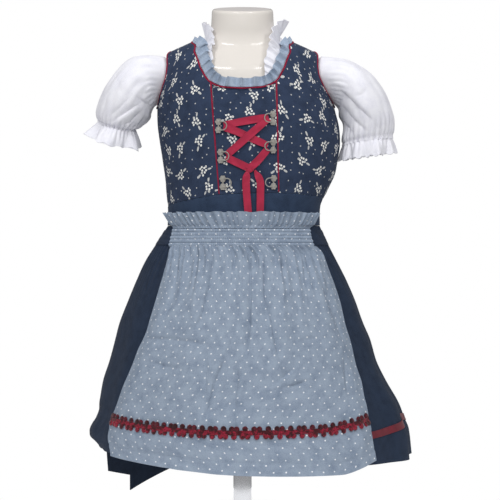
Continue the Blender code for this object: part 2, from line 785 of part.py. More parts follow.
def side_edge(side, foot):
    """A bodice panel's outer edge: the side seam, then the armhole up to the shoulder."""
    seam = armhole(side, 0)
    low = [(seam[0], foot + (seam[1] - foot) * share) for share in np.linspace(0, 1, len(FRONT_ROWS))]
    return low + [armhole(side, k / ARMHOLE_ROWS) for k in range(1, ARMHOLE_ROWS + 1)]


def band_top(angle):
    return smooth(BAND_TOP, wrapped(angle))[0]


def front_seam_edge(side, gap, top):
    """Places up one side of a piped front seam, a gap to the right of it."""
    foot = FRONT_FOOT[side]
    heights = [foot + (top - foot) * share for share in FRONT_ROWS]
    return [(seam_angle(side, height) + degrees_of(gap), height) for height in heights]


def front_panel(side, gap, rise, columns):
    """Places on a front panel, from its piped seam and neckline out to its side."""
    sign = 1 if side == "right" else -1
    inner = front_seam_edge(side, sign * gap, neck_height(FRONT_CORNER) + rise)
    inner += mirrored([neckline(station) for station in FRONT_STATIONS[:-1]], side)
    inner.append((sign * (90 - SEAM_TURN), neckline(NECK_SHOULDER)[1]))
    return across(inner, mirrored(side_edge("front", band_top(sign * 90) + SEAM), side), columns)


def back_panel(side, columns):
    """Places on a back panel, from the middle and the neckline out to its side."""
    sign = 1 if side == "right" else -1
    foot, top = band_top(180) + SEAM, neckline(NECK_BACK)[1]
    inner = [(180 - SEAM_TURN, foot + (top - foot) * share) for share in BACK_ROWS]
    inner += [neckline(station) for station in BACK_STATIONS]
    inner[-1] = (90 + SEAM_TURN, inner[-1][1])
    outer = side_edge("back", band_top(sign * 90) + SEAM)
    return across(mirrored(inner, side), mirrored(outer, side), columns)


def under_neckline(places, shares):
    """Rows between the front seams, the upper ones curved like the neckline."""
    rows = []
    for row, share in zip(places, shares):
        bent = fade(share, 0.3, 1)
        middle = [(angle, height + (neck_height(angle) - height) * bent) for angle, height in row[1:-1]]
        rows.append([row[0], *middle, row[-1]])
    return rows


def build_panel(name, places):
    """A bodice panel, with its foot on the waistband."""
    places[0] = [(angle, band_top(angle) + SEAM) for angle, _ in places[0]]
    surface_wall(name, draped, places, BODICE_IN, BODICE_OUT, cloth(FLORAL))


def build_bodice():
    top = neck_height(FRONT_CORNER)
    for side in ("left", "right"):
        build_panel(f"bodice_front_{side}", front_panel(side, PIPING_SIDE, CORNER_RISE, PANEL_COLUMNS))
        build_panel(f"bodice_back_{side}", back_panel(side, PANEL_COLUMNS))

    left = front_seam_edge("left", PIPING_SIDE, top - CORNER_DROP)
    right = front_seam_edge("right", -PIPING_SIDE, top - CORNER_DROP)
    places = across(left, right, PANEL_COLUMNS)
    build_panel("bodice_front_centre", under_neckline(places, FRONT_ROWS))

    angles = [360 * k / SKIRT_COLUMNS for k in range(SKIRT_COLUMNS)]
    places = [
        [(angle, BAND_BOTTOM + (band_top(angle) - BAND_BOTTOM) * share) for angle in angles]
        for share in (0, 0.5, 1)
    ]
    surface_wall("waistband", draped, places, BODICE_IN, BODICE_OUT, cloth(NAVY), closed=True)


def degrees_of(distance):
    """The angle of a short distance along the front of the bodice."""
    return np.degrees(distance / 95)


def neck_loop():
    """Places round the neckline, at the corners of the panels that meet it."""
    half = [(angle, neck_height(angle)) for angle in (0, 5.5, 11, 16.5, 22)]
    stations = (2.4,) + FRONT_STATIONS + BACK_STATIONS[-2::-1] + (NECK_BACK,)
    return both_sides(half + [neckline(station) for station in stations])


def build_piping():
    red = cloth(CRIMSON)
    base, inward, normals = rim(draped, neck_loop(), PIPING_LIFT)
    tube("piping_neck", base + inward * NECK_PIPING_SIDE, PIPING_RADIUS, red, closed=True, normals=normals)
    for side in ("left", "right"):
        shares = [k / ARMHOLE_ROWS for k in range(ARMHOLE_ROWS + 1)]
        places = [armhole("front", 1 - share) for share in shares]
        places = places + [armhole("back", share) for share in shares[1:-1]]
        base, inward, normals = rim(draped, mirrored(places, side), PIPING_LIFT)
        middle = base.mean(axis=0)
        inward = inward * np.sign((inward * (middle - base)).sum(axis=1, keepdims=True))
        base = base + inward * PIPING_SIDE
        tube(f"piping_armhole_{side}", base, PIPING_RADIUS, red, closed=True, normals=normals)
        top = neck_height(FRONT_CORNER) - 0.6
        places = front_seam_edge(side, 0, top)
        centres = [off(draped, angle, height, PIPING_LIFT) for angle, height in places]
        normals = [outward(draped, angle, height) for angle, height in places]
        tube(f"piping_front_{side}", centres, PIPING_RADIUS, red, normals=normals)
    base, inward, normals = rim(draped, neck_loop(), PIPING_LIFT)
    base = base + inward * (NECK_PIPING_SIDE + PIPING_RADIUS + SEAM)
    shape = np.tile((FRILL_TALL, FRILL_LEAN, FRILL_WAVE), (len(base), 1))
    ruffle("neck_frill", base, inward, normals, shape, FRILL_WAVES, 1, cloth(CHAMBRAY))


# Skirt


def build_skirt():
    half_turn = SKIRT_COLUMNS // 2
    for side, start in (("front", -90), ("back", 90)):
        angles = [start + 180 * k / half_turn for k in range(half_turn + 1)]
        angles[0] += SEAM_TURN / 2
        angles[-1] -= SEAM_TURN / 2
        places = [[(angle, height) for angle in angles] for height in SKIRT_HEIGHTS]
        surface_wall(f"skirt_{side}", skirt, places, -SKIRT_WALL, 0, cloth(NAVY))
    angles = [360 * k / SKIRT_COLUMNS - 180 for k in range(SKIRT_COLUMNS)]
    rooms = [FOLD_RIBBON_ROOM * (abs(angle - FOLD_MIDDLE) < FOLD_REACH) for angle in angles]
    edges = (RIBBON_LOW, RIBBON_HIGH)
    places = [[(angle, height, room) for angle, room in zip(angles, rooms)] for height in edges]
    surface_wall("skirt_ribbon", skirt, places, SEAM, SEAM + 0.8, cloth(CRIMSON), closed=True)


# Apron


def apron_edges(height):
    return smooth(APRON_EDGES, height)


def apron_lift(share, part):
    """How far the apron's inner face stands off the skirt, at a share of the way across
    and a part of the way up."""
    lift = APRON_LIFT + RIBBON_ROOM * (1 - fade(part, *RIBBON_ROOM_FADE))
    for middle, level, deep, half_wide, half_long in APRON_FOLDS:
        lift += deep * np.exp(-(((share - middle) / half_wide) ** 2) - ((part - level) / half_long) ** 2)
    pleat = 0.5 + 0.5 * cos(2 * pi * APRON_GATHERS * share)
    return lift + APRON_GATHER * pleat * fade(part, *APRON_GATHER_FADE)


def build_apron():
    blue = cloth(CHAMBRAY)
    shares = [k / (2 * APRON_GATHERS) for k in range(2 * APRON_GATHERS + 1)]
    places = []
    for part in APRON_ROWS:
        row = []
        for share in shares:
            hem = smooth(APRON_HEM, share)[0]
            height = hem + (APRON_TOP - hem) * part
            left, right = apron_edges(height)
            row.append((left + (right - left) * share, height, apron_lift(share, part)))
        places.append(row)
    surface_wall("apron_skirt", skirt, places, 0, APRON_WALL, blue)

    places = []
    for above in (-BRAID_WIDE / 2, BRAID_WIDE / 2):
        row = []
        for share in shares:
            angle = 0
            for _ in range(4):
                height = smooth(BRAID_LINE, angle)[0] + above
                left, right = apron_edges(height)
                angle = left + (right - left) * share
            hem = smooth(APRON_HEM, share)[0]
            row.append((angle, height, apron_lift(share, (height - hem) / (APRON_TOP - hem))))
        places.append(row)
    surface_wall("apron_braid", skirt, places, APRON_WALL + SEAM, APRON_WALL + SEAM + 0.8, cloth(CRIMSON))

    places = []
    for k, height in enumerate(np.linspace(SHIRR_BOTTOM, SHIRR_TOP, 2 * SHIRR_PUFFS + 1)):
        angles = np.linspace(*smooth(BAND_ENDS, height), SHIRR_COLUMNS + 1)
        places.append([(angle, height, 0, SHIRR_DEEP * (k % 2)) for angle in angles])
    surface_wall("apron_band", hips, places, APRON_LIFT, APRON_LIFT + 1, blue)

    lean = radians(HEADING_LEAN)
    places = []
    for part in (0, 0.25, 0.6, 1):
        rise = part * HEADING_TALL
        wave = HEADING_WAVE * part**0.7
        height = SHIRR_TOP + SEAM + rise * cos(lean)
        angles = np.linspace(*smooth(BAND_ENDS, height), 2 * HEADING_WAVES + 1)
        lifts = [rise * sin(lean) + wave * (-1) ** k for k in range(len(angles))]
        places.append([(angle, height, lift) for angle, lift in zip(angles, lifts)])
    surface_wall("apron_heading", hips, places, APRON_LIFT, APRON_LIFT + 1, blue)


# Ties

def build_ties():
    navy = cloth(NAVY)
    half = np.degrees((KNOT_SIZE[0] / 2 + SEAM) / KNOT_RADIUS)
    places = {"tie_belt_left": [], "tie_belt_right": []}
    for height in np.linspace(TIE_LOW, TIE_HIGH, 4):
        left, right = smooth(BAND_ENDS, height)
        left_row = np.linspace(KNOT_ANGLE + half, left - TIE_GAP, TIE_COLUMNS["left"])
        right_row = np.linspace(right + TIE_GAP, KNOT_ANGLE + 360 - half, TIE_COLUMNS["right"])
        places["tie_belt_left"].append([(angle, height) for angle in left_row])
        places["tie_belt_right"].append([(angle, height) for angle in right_row])
    for name, rows in places.items():
        surface_wall(name, hips, rows, APRON_LIFT, APRON_LIFT + TRIM_WALL, navy)
    wide, deep, tall = (size / 2 for size in KNOT_SIZE)
    centre = off(hips, KNOT_ANGLE, KNOT_HEIGHT, KNOT_LIFT + deep)
    bpy.ops.mesh.primitive_uv_sphere_add(segments=10, ring_count=7, location=centre * MM)
    knot = bpy.context.object
    knot.name = "tie_knot"
    knot.scale = (wide * MM, deep * MM, tall * MM)
    knot.rotation_euler = (0, 0, radians(KNOT_ANGLE))
    knot.data.materials.append(navy)
    knot.data.shade_smooth()
    for name, rows in TIE_ENDS.items():
        slant = TIE_END_SLANT[name]
        places = []
        for share in np.linspace(0, 1, TIE_ROWS):
            level = rows[0][0] + (rows[-1][0] - rows[0][0]) * share
            first, last = smooth(rows, level)
            low = max(0, 1 - share * 4) * slant
            row = [(first + (last - first) * k / 3, level + low * (1 - k / 3)) for k in range(4)]
            rooms = [TIE_ROOM * (1 - fade(height, *TIE_ROOM_FADE)) for _, height in row]
            places.append([(angle, height, room) for (angle, height), room in zip(row, rooms)])
        surface_wall(name, skirt, places, TIE_LIFT, TIE_LIFT + TRIM_WALL, navy)


# Lacing

def strip(name, points, wide, thick, material, steps=6):
    """A ribbon over the bodice. Each point is a distance right of the middle, a height
    and a lift."""
    line = along_loop(points, np.linspace(0, 1, steps + 1))
    places = [(angle_at(distance, height), height, lift) for distance, height, lift in line]
    lower = np.array([bodice(*place) for place in places])
    normals = np.array([outward(draped, angle, height) for angle, height, _ in places])
    side = np.cross(normals, np.gradient(lower, axis=0))
    side *= wide / 2 / np.linalg.norm(side, axis=1, keepdims=True)
    inner = np.stack((lower - side, lower + side), axis=1)
    wall(name, inner + (normals * thick)[:, None, :], inner, material)


def hook_mesh():
    """A hook flat on its back: two discs one above the other and a wire loop."""
    metal = finish(SILVER, 0.25, 1, name="hook_silver")
    middle = HOOK_THICK / 2
    discs = []
    for side in (-1, 1):
        bpy.ops.mesh.primitive_cylinder_add(
            vertices=10,
            radius=HOOK_DISC * MM,
            depth=HOOK_THICK * MM,
            location=(0, side * HOOK_APART / 2 * MM, middle * MM),
        )
        bpy.ops.object.transform_apply(location=True, rotation=False, scale=False)
        discs.append(bpy.context.object)
    bpy.ops.mesh.primitive_cube_add(size=1, location=(0, 0, middle * MM))
    bar = bpy.context.object
    bar.scale = (HOOK_BAR * MM, HOOK_APART * MM, (HOOK_THICK - 1) * MM)
    bpy.ops.object.transform_apply(location=False, rotation=False, scale=True)
    straight = LOOP_REACH - LOOP_WIDE / 2
    half = LOOP_WIDE / 2
    bend = [(straight + half * sin(turn), -half * cos(turn)) for turn in np.linspace(0, pi, 4)]
    path = [(0.6, -half)] + bend + [(0.6, half)]
    wire = tube("hook_wire", [(x, y, LOOP_LIFT) for x, y in path], LOOP_WIRE, metal)
    body = discs[0]
    for cutter in (discs[1], bar, wire):
        union = body.modifiers.new("join", "BOOLEAN")
        union.operation = "UNION"
        union.object = cutter
    bpy.context.view_layer.update()
    mesh = bpy.data.meshes.new_from_object(body.evaluated_get(bpy.context.evaluated_depsgraph_get()))
    mesh.materials.clear()
    mesh.materials.append(metal)
    mesh.shade_smooth()
    mesh.set_sharp_from_angle(angle=radians(40))
    for used in (*discs, bar, wire):
        bpy.data.objects.remove(used)
    return mesh


def build_lacing():
    red = finish(CRIMSON, 0.4, name="satin")
    for name, points in LACING.items():
        strip(name, points, LACE_WIDE, LACE_WALL, red)
    distance, height = LACE_KNOT_AT
    angle = angle_at(distance, height)
    wide, tall, deep = LACE_KNOT_SIZE
    bpy.ops.mesh.primitive_uv_sphere_add(
        segments=8,
        ring_count=6,
        location=bodice(angle, height, SEAM + deep) * MM,
        rotation=(0, 0, radians(angle)),
    )
    knot = bpy.context.object
    knot.name = "lacing_knot"
    knot.scale = (wide * MM, deep * MM, tall * MM)
    knot.data.materials.append(red)
    knot.data.shade_smooth()
    mesh = hook_mesh()
    for name, (distance, height) in HOOKS.items():
        angle = angle_at(distance, height)
        out = Vector(outward(draped, angle, height))
        across_hook = Vector((0, 0, 1)).cross(out).normalized()
        if distance > 0:
            across_hook = -across_hook
        turn = Matrix((across_hook, out.cross(across_hook), out)).transposed()
        hook = bpy.data.objects.new(name, mesh)
        hook.matrix_world = Matrix.Translation(Vector(bodice(angle, height, HOOK_LIFT)) * MM) @ turn.to_4x4()
        bpy.context.collection.objects.link(hook)


def main():
    for thing in list(bpy.data.objects):
        bpy.data.objects.remove(thing)
    build_form()
    build_blouse_body()
    build_sleeves()
    build_neck_ruffle()
    build_bodice()
    build_piping()
    build_skirt()
    build_apron()
    build_ties()
    build_lacing()


main()
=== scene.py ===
# %% [markdown]
# # A child's dirndl on a dress form
# The set is a sleeveless dress with a laced bodice, a white blouse with puff sleeves
# and a blue apron tied over the skirt. A glossy torso on a chrome stand fills it out.
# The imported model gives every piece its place. Here each plain solid gets its look.

# %% Load the frame
from functools import partial

import bpy
import numpy as np
from mathutils import Matrix, Vector


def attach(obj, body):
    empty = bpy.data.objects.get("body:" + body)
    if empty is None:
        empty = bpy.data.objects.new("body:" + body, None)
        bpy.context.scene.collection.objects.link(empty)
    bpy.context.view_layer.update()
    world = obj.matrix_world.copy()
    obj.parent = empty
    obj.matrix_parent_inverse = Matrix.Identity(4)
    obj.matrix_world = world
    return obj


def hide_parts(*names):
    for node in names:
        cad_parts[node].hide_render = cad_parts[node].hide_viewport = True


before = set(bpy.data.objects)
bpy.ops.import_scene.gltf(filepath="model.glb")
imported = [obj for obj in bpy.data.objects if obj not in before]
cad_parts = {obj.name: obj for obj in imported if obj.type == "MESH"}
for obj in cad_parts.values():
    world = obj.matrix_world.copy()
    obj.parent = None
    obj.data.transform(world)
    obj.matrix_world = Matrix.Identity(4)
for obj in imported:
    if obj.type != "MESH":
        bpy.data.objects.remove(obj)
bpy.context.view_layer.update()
MM = 0.001
print("solids in the frame:", len(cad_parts))

# %% [markdown]
# ## Helpers for shapes
# The dress is drawn as a maker would mark it: by an angle round the body and a height.
# 0 degrees is the front, 90 the right side as the front is seen, -90 the left side.
# Tables hold the sizes in millimetres, and a smooth curve runs through their rows.


# %% Curves through tables
def smooth(table, key):
    """A table's values at any key, on a curve that never overshoots its rows."""
    rows = np.asarray(table, float)
    keys, values = rows[:, 0], rows[:, 1:]
    key = np.clip(np.asarray(key, float), keys[0], keys[-1])
    here = np.clip(np.searchsorted(keys, key, side="right") - 1, 0, len(keys) - 2)
    steps = np.diff(keys)
    slopes = np.diff(values, axis=0) / steps[:, None]
    tangents = np.concatenate((slopes[:1], np.zeros((len(keys) - 2, values.shape[1])), slopes[-1:]))
    before, after = slopes[:-1], slopes[1:]
    same = before * after > 0
    tangents[1:-1] = np.where(same, 2 * before * after / np.where(same, before + after, 1), 0)
    step, part = steps[here][..., None], ((key - keys[here]) / steps[here])[..., None]
    return (
        (1 + 2 * part) * (1 - part) ** 2 * values[here]
        + part * (1 - part) ** 2 * step * tangents[here]
        + part**2 * (3 - 2 * part) * values[here + 1]
        + part**2 * (part - 1) * step * tangents[here + 1]
    )


def curve(table, key):
    return smooth(table, key)[..., 0]


def split(table, key):
    """A table's values at any key, one array for each column."""
    return np.moveaxis(smooth(table, key), -1, 0)


def between(edges, share):
    """A share of the way from the left edge to the right one."""
    return edges[..., 0] + (edges[..., 1] - edges[..., 0]) * share


def fade(value, start, end):
    """0 at start, 1 at end and beyond, with a soft change between."""
    part = np.clip((np.asarray(value, float) - start) / (end - start), 0, 1)
    return part * part * (3 - 2 * part)


def bump_at(value, middle, width):
    """1 at the middle, falling away softly on both sides."""
    return np.exp(-(((value - middle) / width) ** 2))


def unevenness(across, along, seed):
    """A soft random field from 0 to 1, with lumps one unit wide."""
    grid = np.random.default_rng(seed).random((64, 64))
    across, along = np.broadcast_arrays(np.asarray(across, float), np.asarray(along, float))
    left, low = np.floor(across).astype(int), np.floor(along).astype(int)
    right_part, high_part = fade(across - left, 0, 1), fade(along - low, 0, 1)
    corner = lambda i, j: grid[(left + i) % 64, (low + j) % 64]
    bottom = corner(0, 0) * (1 - right_part) + corner(1, 0) * right_part
    top = corner(0, 1) * (1 - right_part) + corner(1, 1) * right_part
    return bottom * (1 - high_part) + top * high_part


def beside_line(x, z, points):
    """How far each place is from a broken line, in millimetres: above 0 on its left."""
    nearest, side = np.full(np.shape(x), 1e9), np.ones(np.shape(x))
    for (x0, z0), (x1, z1) in zip(points, points[1:]):
        part = np.clip(((x - x0) * (x1 - x0) + (z - z0) * (z1 - z0)) / ((x1 - x0) ** 2 + (z1 - z0) ** 2), 0, 1)
        away = np.hypot(x - x0 - part * (x1 - x0), z - z0 - part * (z1 - z0))
        turn = np.where((x1 - x0) * (z - z0) - (z1 - z0) * (x - x0) < 0, -1, 1)
        side = np.where(away < nearest, turn, side)
        nearest = np.minimum(nearest, away)
    return nearest * side


# A crease starts at a quarter of its depth and is full 16 mm from its ends
CREASE_START, CREASE_RUN = 0.25, 16


def crease(x, z, points, deep, steep, easy):
    """A fold's groove along a line: it rises steeply on the line's right, easily on its left."""
    away = beside_line(x, z, points)
    ends = np.minimum(*(np.hypot(x - end[0], z - end[1]) for end in (points[0], points[-1])))
    fading = CREASE_START + (1 - CREASE_START) * fade(ends, 0, CREASE_RUN)
    return -deep * fading * np.exp(-np.abs(away) / np.where(away > 0, easy, steep))


def wrapped(angle):
    return (np.asarray(angle, float) + 180) % 360 - 180


# %% [markdown]
# The torso table gives half its width and its depth to the front and the back. The
# cloth follows it, standing off by the ease of a dress that is not quite filled.

# %% The body that the cloth follows
# Height, half width, depth to the front, depth to the back
FORM = (
    (290, 84, 66, 66),
    (310, 89, 71, 73),
    (335, 87, 72, 72),
    (360, 84, 71, 66),
    (385, 82, 69, 61),
    (410, 83, 69, 61),
    (440, 86, 70, 64),
    (470, 90, 71, 68),
    (500, 93, 70, 70),
    (525, 94.5, 65, 68),
    (545, 95, 59, 63),
    (556, 93.5, 52, 57),
    (564, 89.5, 46, 51),
    (570, 79, 42, 46),
    (575, 68, 38, 42),
    (580, 57, 35, 38),
    (586, 46.5, 33.5, 35.5),
    (594, 40, 33, 34),
    (605, 37.5, 33, 33.5),
    (630, 36.5, 32.5, 33),
)
# How far the dress stands off the form: height, left, right, front, back
EASE = (
    (355, 1, 4, 2, 0.5),
    (388, 3, 7, 3, 1.5),
    (406, 4, 14, 3, 2),
    (430, 4.5, 22.5, 3.5, 2),
    (454, 5, 23.5, 3.5, 2),
    (478, 5.5, 20.5, 3, 2.5),
    (503, 4, 12.5, 2.5, 2.5),
    (525, 2, 4.5, 1.5, 1.5),
    (545, 0.5, 0.5, 0, 0.5),
    (560, 0, 0, 0, 0),
    (640, 0, 0, 0, 0),
)
BODICE_OUT = 4.7
SIDES = (("left", -1), ("right", 1))


def around(left, right, front, back, angle, height):
    """Points of an oval section given by its left, right, front and back sizes."""
    turn = np.radians(angle)
    across, along = np.sin(turn), -np.cos(turn)
    x = np.where(across > 0, right, left) * across
    y = np.where(along > 0, back, front) * along
    return np.stack(np.broadcast_arrays(x, y, height), axis=-1)


def draped(angle, height):
    """The surface that the blouse and the bodice follow."""
    half, front, back = split(FORM, height)
    ease = split(EASE, height)
    return around(half + ease[0], half + ease[1], front + ease[2], back + ease[3], angle, height)


def outward(surface, angle, height, step=0.4):
    """The direction straight out of a surface."""
    side = surface(angle + step, height) - surface(angle - step, height)
    up = surface(angle, height + step) - surface(angle, height - step)
    direction = np.cross(side, up)
    return direction / np.linalg.norm(direction, axis=-1, keepdims=True)


def off(surface, angle, height, lift):
    angle, height, lift = np.broadcast_arrays(*(np.asarray(part, float) for part in (angle, height, lift)))
    return surface(angle, height) + outward(surface, angle, height) * lift[..., None]


# %% [markdown]
# Cloth is a grid primitive whose points are moved to their places, row by row from the
# hem up. Its UV map holds the real distances on the cloth in metres, so a print keeps
# its true size. Solidify then gives the cloth its thickness, inwards.


NARROWEST = 0.01
WELD_WITHIN, CORD_SIDES = 0.000001, 10


def weld(piece):
    """Merges the points that lie on one another."""
    bpy.context.view_layer.objects.active = piece
    bpy.ops.object.mode_set(mode="EDIT")
    bpy.ops.mesh.select_all(action="SELECT")
    bpy.ops.mesh.remove_doubles(threshold=WELD_WITHIN)
    bpy.ops.object.mode_set(mode="OBJECT")


def lengths(points, axis):
    """How far along the rows or the columns each point of a grid lies."""
    steps = np.linalg.norm(np.diff(points, axis=axis), axis=-1)
    return np.concatenate((np.zeros_like(np.take(steps, [0], axis=axis)), np.cumsum(steps, axis=axis)), axis=axis)


def grid_piece(name, points, closed=False, even=True):
    """A grid primitive with its points moved to their places, in millimetres. closed
    joins its last column to its first; even keeps the print's width as it was cut."""
    if closed:
        points = np.concatenate((points, points[:, :1]), axis=1)
    rows, columns = points.shape[:2]
    bpy.ops.object.select_all(action="DESELECT")
    bpy.ops.mesh.primitive_grid_add(x_subdivisions=columns - 1, y_subdivisions=rows - 1, size=1)
    piece = bpy.context.object
    piece.name = piece.data.name = name
    piece.data.vertices.foreach_set("co", (points * MM).ravel())
    u, v = lengths(points, 1), lengths(points, 0)
    if even:
        u = np.linspace(0, u[:, -1].max(), columns)[None, :] + 0 * u
    else:
        u = u - u[:, -1:] / 2
    v = v.mean(axis=1)[:, None] + 0 * v
    corners = np.empty(len(piece.data.loops), int)
    piece.data.loops.foreach_get("vertex_index", corners)
    places = np.stack((u.ravel(), v.ravel()), axis=1)[corners] * MM
    piece.data.uv_layers[0].data.foreach_set("uv", places.ravel())
    if closed:
        weld(piece)
    return piece


def settle(piece, finish, stands_for=(), crisp=60):
    """A finished piece: its shading, its material and what it stands for."""
    material, slot = finish
    piece.data.materials.clear()
    piece.data.materials.append(material)
    bpy.ops.object.select_all(action="DESELECT")
    piece.select_set(True)
    bpy.context.view_layer.objects.active = piece
    bpy.ops.object.shade_smooth_by_angle(angle=np.radians(crisp))
    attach(piece, "root")
    if stands_for:
        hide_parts(*stands_for)
    return piece


def cloth(name, points, finish, stands_for=(), thick=0.8, closed=False, even=True):
    """One sheet of cloth, with its flat size measured on the grid."""
    whole = np.concatenate((points, points[:, :1]), axis=1) if closed else points
    width, length = lengths(whole, 1)[:, -1].max() * MM, lengths(whole, 0)[-1].max() * MM
    piece = grid_piece(name, points, closed, even)
    bpy.context.view_layer.objects.active = piece
    wall = piece.modifiers.new("Wall", "SOLIDIFY")
    wall.thickness, wall.offset = thick * MM, -1
    bpy.ops.object.modifier_apply(modifier=wall.name)
    settle(piece, finish, stands_for)
    width, length = max(width, NARROWEST), max(length, NARROWEST)
    return piece


def tube(name, centres, radius, closed, ups=None):
    """A round cord along a line of points, as a grid rolled round it."""
    centres = np.asarray(centres, float)
    if closed:
        along = np.roll(centres, -1, axis=0) - np.roll(centres, 1, axis=0)
    else:
        along = np.gradient(centres, axis=0)
    along /= np.linalg.norm(along, axis=1, keepdims=True)
    up = np.array((0.0, 0, 1)) + 0 * along if ups is None else ups
    side = np.cross(along, up)
    side /= np.linalg.norm(side, axis=1, keepdims=True)
    up = np.cross(side, along)
    turns = np.linspace(0, 2 * np.pi, CORD_SIDES, endpoint=False)[None, :, None]
    rings = centres[:, None] + radius * (np.cos(turns) * side[:, None] + np.sin(turns) * up[:, None])
    if closed:
        rings = np.concatenate((rings, rings[:1]))
    else:
        rings = np.concatenate((centres[:1, None] + 0 * rings[:1], rings, centres[-1:, None] + 0 * rings[:1]))
    piece = grid_piece(name, rings, closed=True)
    if closed:
        weld(piece)
    return piece


# %% [markdown]
# ## Materials
# Most of the set is plain-woven cotton: matt, with a fine even weave that catches the
# light softly. The ribbons are polyester satin, the form is glossy moulded plastic and
# the stand and the lacing hooks are plated metal. Colours are sRGB values.


# %% Colours and nodes
def linear(code, alpha=1.0):
    """An sRGB hex colour as linear values."""
    parts = [int(code[k : k + 2], 16) / 255 for k in (1, 3, 5)]
    return tuple(p / 12.92 if p <= 0.04045 else ((p + 0.055) / 1.055) ** 2.4 for p in parts) + (alpha,)


def add(tree, kind, inputs=(), **settings):
    """A node with its settings, its values and its links."""
    fresh = tree.nodes.new("ShaderNode" + kind)
    for key, value in settings.items():
        setattr(fresh, key, value)
    for key, value in inputs.items() if isinstance(inputs, dict) else enumerate(inputs):
        if isinstance(value, bpy.types.Node):
            value = value.outputs[0]
        if isinstance(value, bpy.types.NodeSocket):
            tree.links.new(value, fresh.inputs[key])
        else:
            fresh.inputs[key].default_value = value
    return fresh


def start_material(name, **sockets):
    """A material with values set on the shader's own sockets. Its node(...) adds a node."""
    material = bpy.data.materials.new(name)
    material.use_nodes = True
    shader = material.node_tree.nodes["Principled BSDF"]
    for key, value in sockets.items():
        shader.inputs[key.replace("_", " ")].default_value = value
    return material, partial(add, material.node_tree), shader


def feed(shader, **sources):
    """Links sources to a shader's sockets."""
    for key, value in sources.items():
        shader.id_data.links.new(value, shader.inputs[key.replace("_", " ")])


# %% [markdown]
# A weave is two sets of threads that pass over and under each other. The real threads
# are about 0.3 mm apart, too fine to show, so they are drawn about 1 mm apart and shallow.

# %% Woven cotton
# A wave texture repeats this often at scale 1
BANDS_PERIOD = 0.31416


def woven(name, colour, shade, thread=0.9, deep=0.12, sheen=0.03):
    """Plain-woven cotton: a weave in the bump and the colour, and a soft mottle."""
    material, node, shader = start_material(
        name, Roughness=0.85, Sheen_Weight=sheen, Sheen_Roughness=0.4, Specular_IOR_Level=0.2
    )
    place = node("TexCoord").outputs["UV"]
    threads = {"Vector": place, "Scale": BANDS_PERIOD / (thread * MM), "Distortion": 0.6, "Detail": 1.0}
    warp, weft = (node("TexWave", threads, bands_direction=way).outputs["Fac"] for way in "XY")
    weave = node("Math", (warp, weft), operation="MULTIPLY")
    mottle = node("TexNoise", {"Vector": place, "Scale": 70.0, "Detail": 4.0, "Roughness": 0.6})
    slub = node("TexNoise", {"Vector": place, "Scale": 900.0, "Detail": 2.0})
    mixed = node("Math", (weave, 0.5, mottle.outputs["Fac"]), operation="MULTIPLY_ADD")
    mixed = node("Math", (slub.outputs["Fac"], 0.6, mixed), operation="MULTIPLY_ADD")
    ramp = node("ValToRGB", (mixed,))
    for stop, position, code in zip(ramp.color_ramp.elements, (0.55, 1.0), (shade, colour)):
        stop.position, stop.color = position, linear(code)
    ground = ramp.outputs["Color"]
    bump = node("Bump", {"Strength": 1.0, "Distance": deep * MM, "Height": weave})
    feed(shader, Base_Color=ground, Normal=bump.outputs["Normal"])
    return material, node, shader, ground, place


# Each finish is a material and a slot's name
navy_cotton = woven("navy_cotton", "#2a364a", "#1c2535")[0], "navy_cloth"
# The waistband's navy is lighter than the skirt's: painted light that makes up for the shade the band lies in.
lit_band_cotton = woven("lit_navy_cotton", "#34435b", "#222d40")[0], "navy_cloth"
white_batiste = woven("white_batiste", "#ececf2", "#d8d8e4", thread=1.1, deep=0.08, sheen=0.05)[0], "white_cloth"
crimson_cotton = woven("crimson_cotton", "#98233f", "#5c1224", thread=0.8, sheen=0.05)[0], "crimson_cloth"

# %% [markdown]
# The apron and the neck frill are chambray, a blue warp crossed with a white weft, so
# the colour is flecked. White pin dots stand 10 mm apart in staggered rows.
# The frill is cut from a part of the cloth that has no dots. Its lighter colour is
# painted light, making up for the shade that the frill lies in.

# %% Chambray with pin dots
DOT_APART, DOT_RADIUS, DOT_WOBBLE, DOT_STRENGTH = 14.0, 0.85, 0.35, 0.9
CHAMBRAY = {"thread": 1.0, "deep": 0.14, "sheen": 0.04}


def dotted_chambray():
    material, node, shader, ground, place = woven("dotted_chambray", "#96a3b4", "#68778d", **CHAMBRAY)
    real = node("VectorMath", (place, (1000 / DOT_APART,) * 3), operation="MULTIPLY")
    wobble = node("TexNoise", {"Vector": place, "Scale": 60.0}).outputs["Color"]
    real = node("VectorMath", (wobble, (DOT_WOBBLE,) * 3, real), operation="MULTIPLY_ADD")
    masks = []
    for shift in (0.0, 0.5):
        moved = node("VectorMath", (real, (shift, shift, 0)), operation="ADD")
        cell = node("VectorMath", (moved,), operation="FRACTION")
        centred = node("VectorMath", (cell, (0.5, 0.5, 0)), operation="SUBTRACT")
        flat = node("VectorMath", (centred, (1, 1, 0)), operation="MULTIPLY")
        distance = node("VectorMath", (flat,), operation="LENGTH").outputs["Value"]
        masks.append(node("Math", (distance, DOT_RADIUS / DOT_APART), operation="LESS_THAN"))
    dots = node("Math", masks, operation="MAXIMUM")
    strength = node("Math", (dots, DOT_STRENGTH), operation="MULTIPLY")
    colour = node("Mix", {0: strength, 6: ground, 7: linear("#f2f3f5")}, data_type="RGBA")
    feed(shader, Base_Color=colour.outputs[2])
    return material


chambray = dotted_chambray(), "blue_cloth"
# Lighter than the apron's chambray: painted light on the neck frill.
lit_plain_chambray = woven("lit_plain_chambray", "#a6b4c6", "#74849b", **CHAMBRAY)[0], "blue_cloth"

# %% [markdown]
# The bodice print is a common one: posies of small white flowers and berries with a
# leaf or two, scattered about 28 mm apart on navy, and small dots between them. A
# Voronoi pattern gives each posy its own middle and turn, and a finer one its flowers.

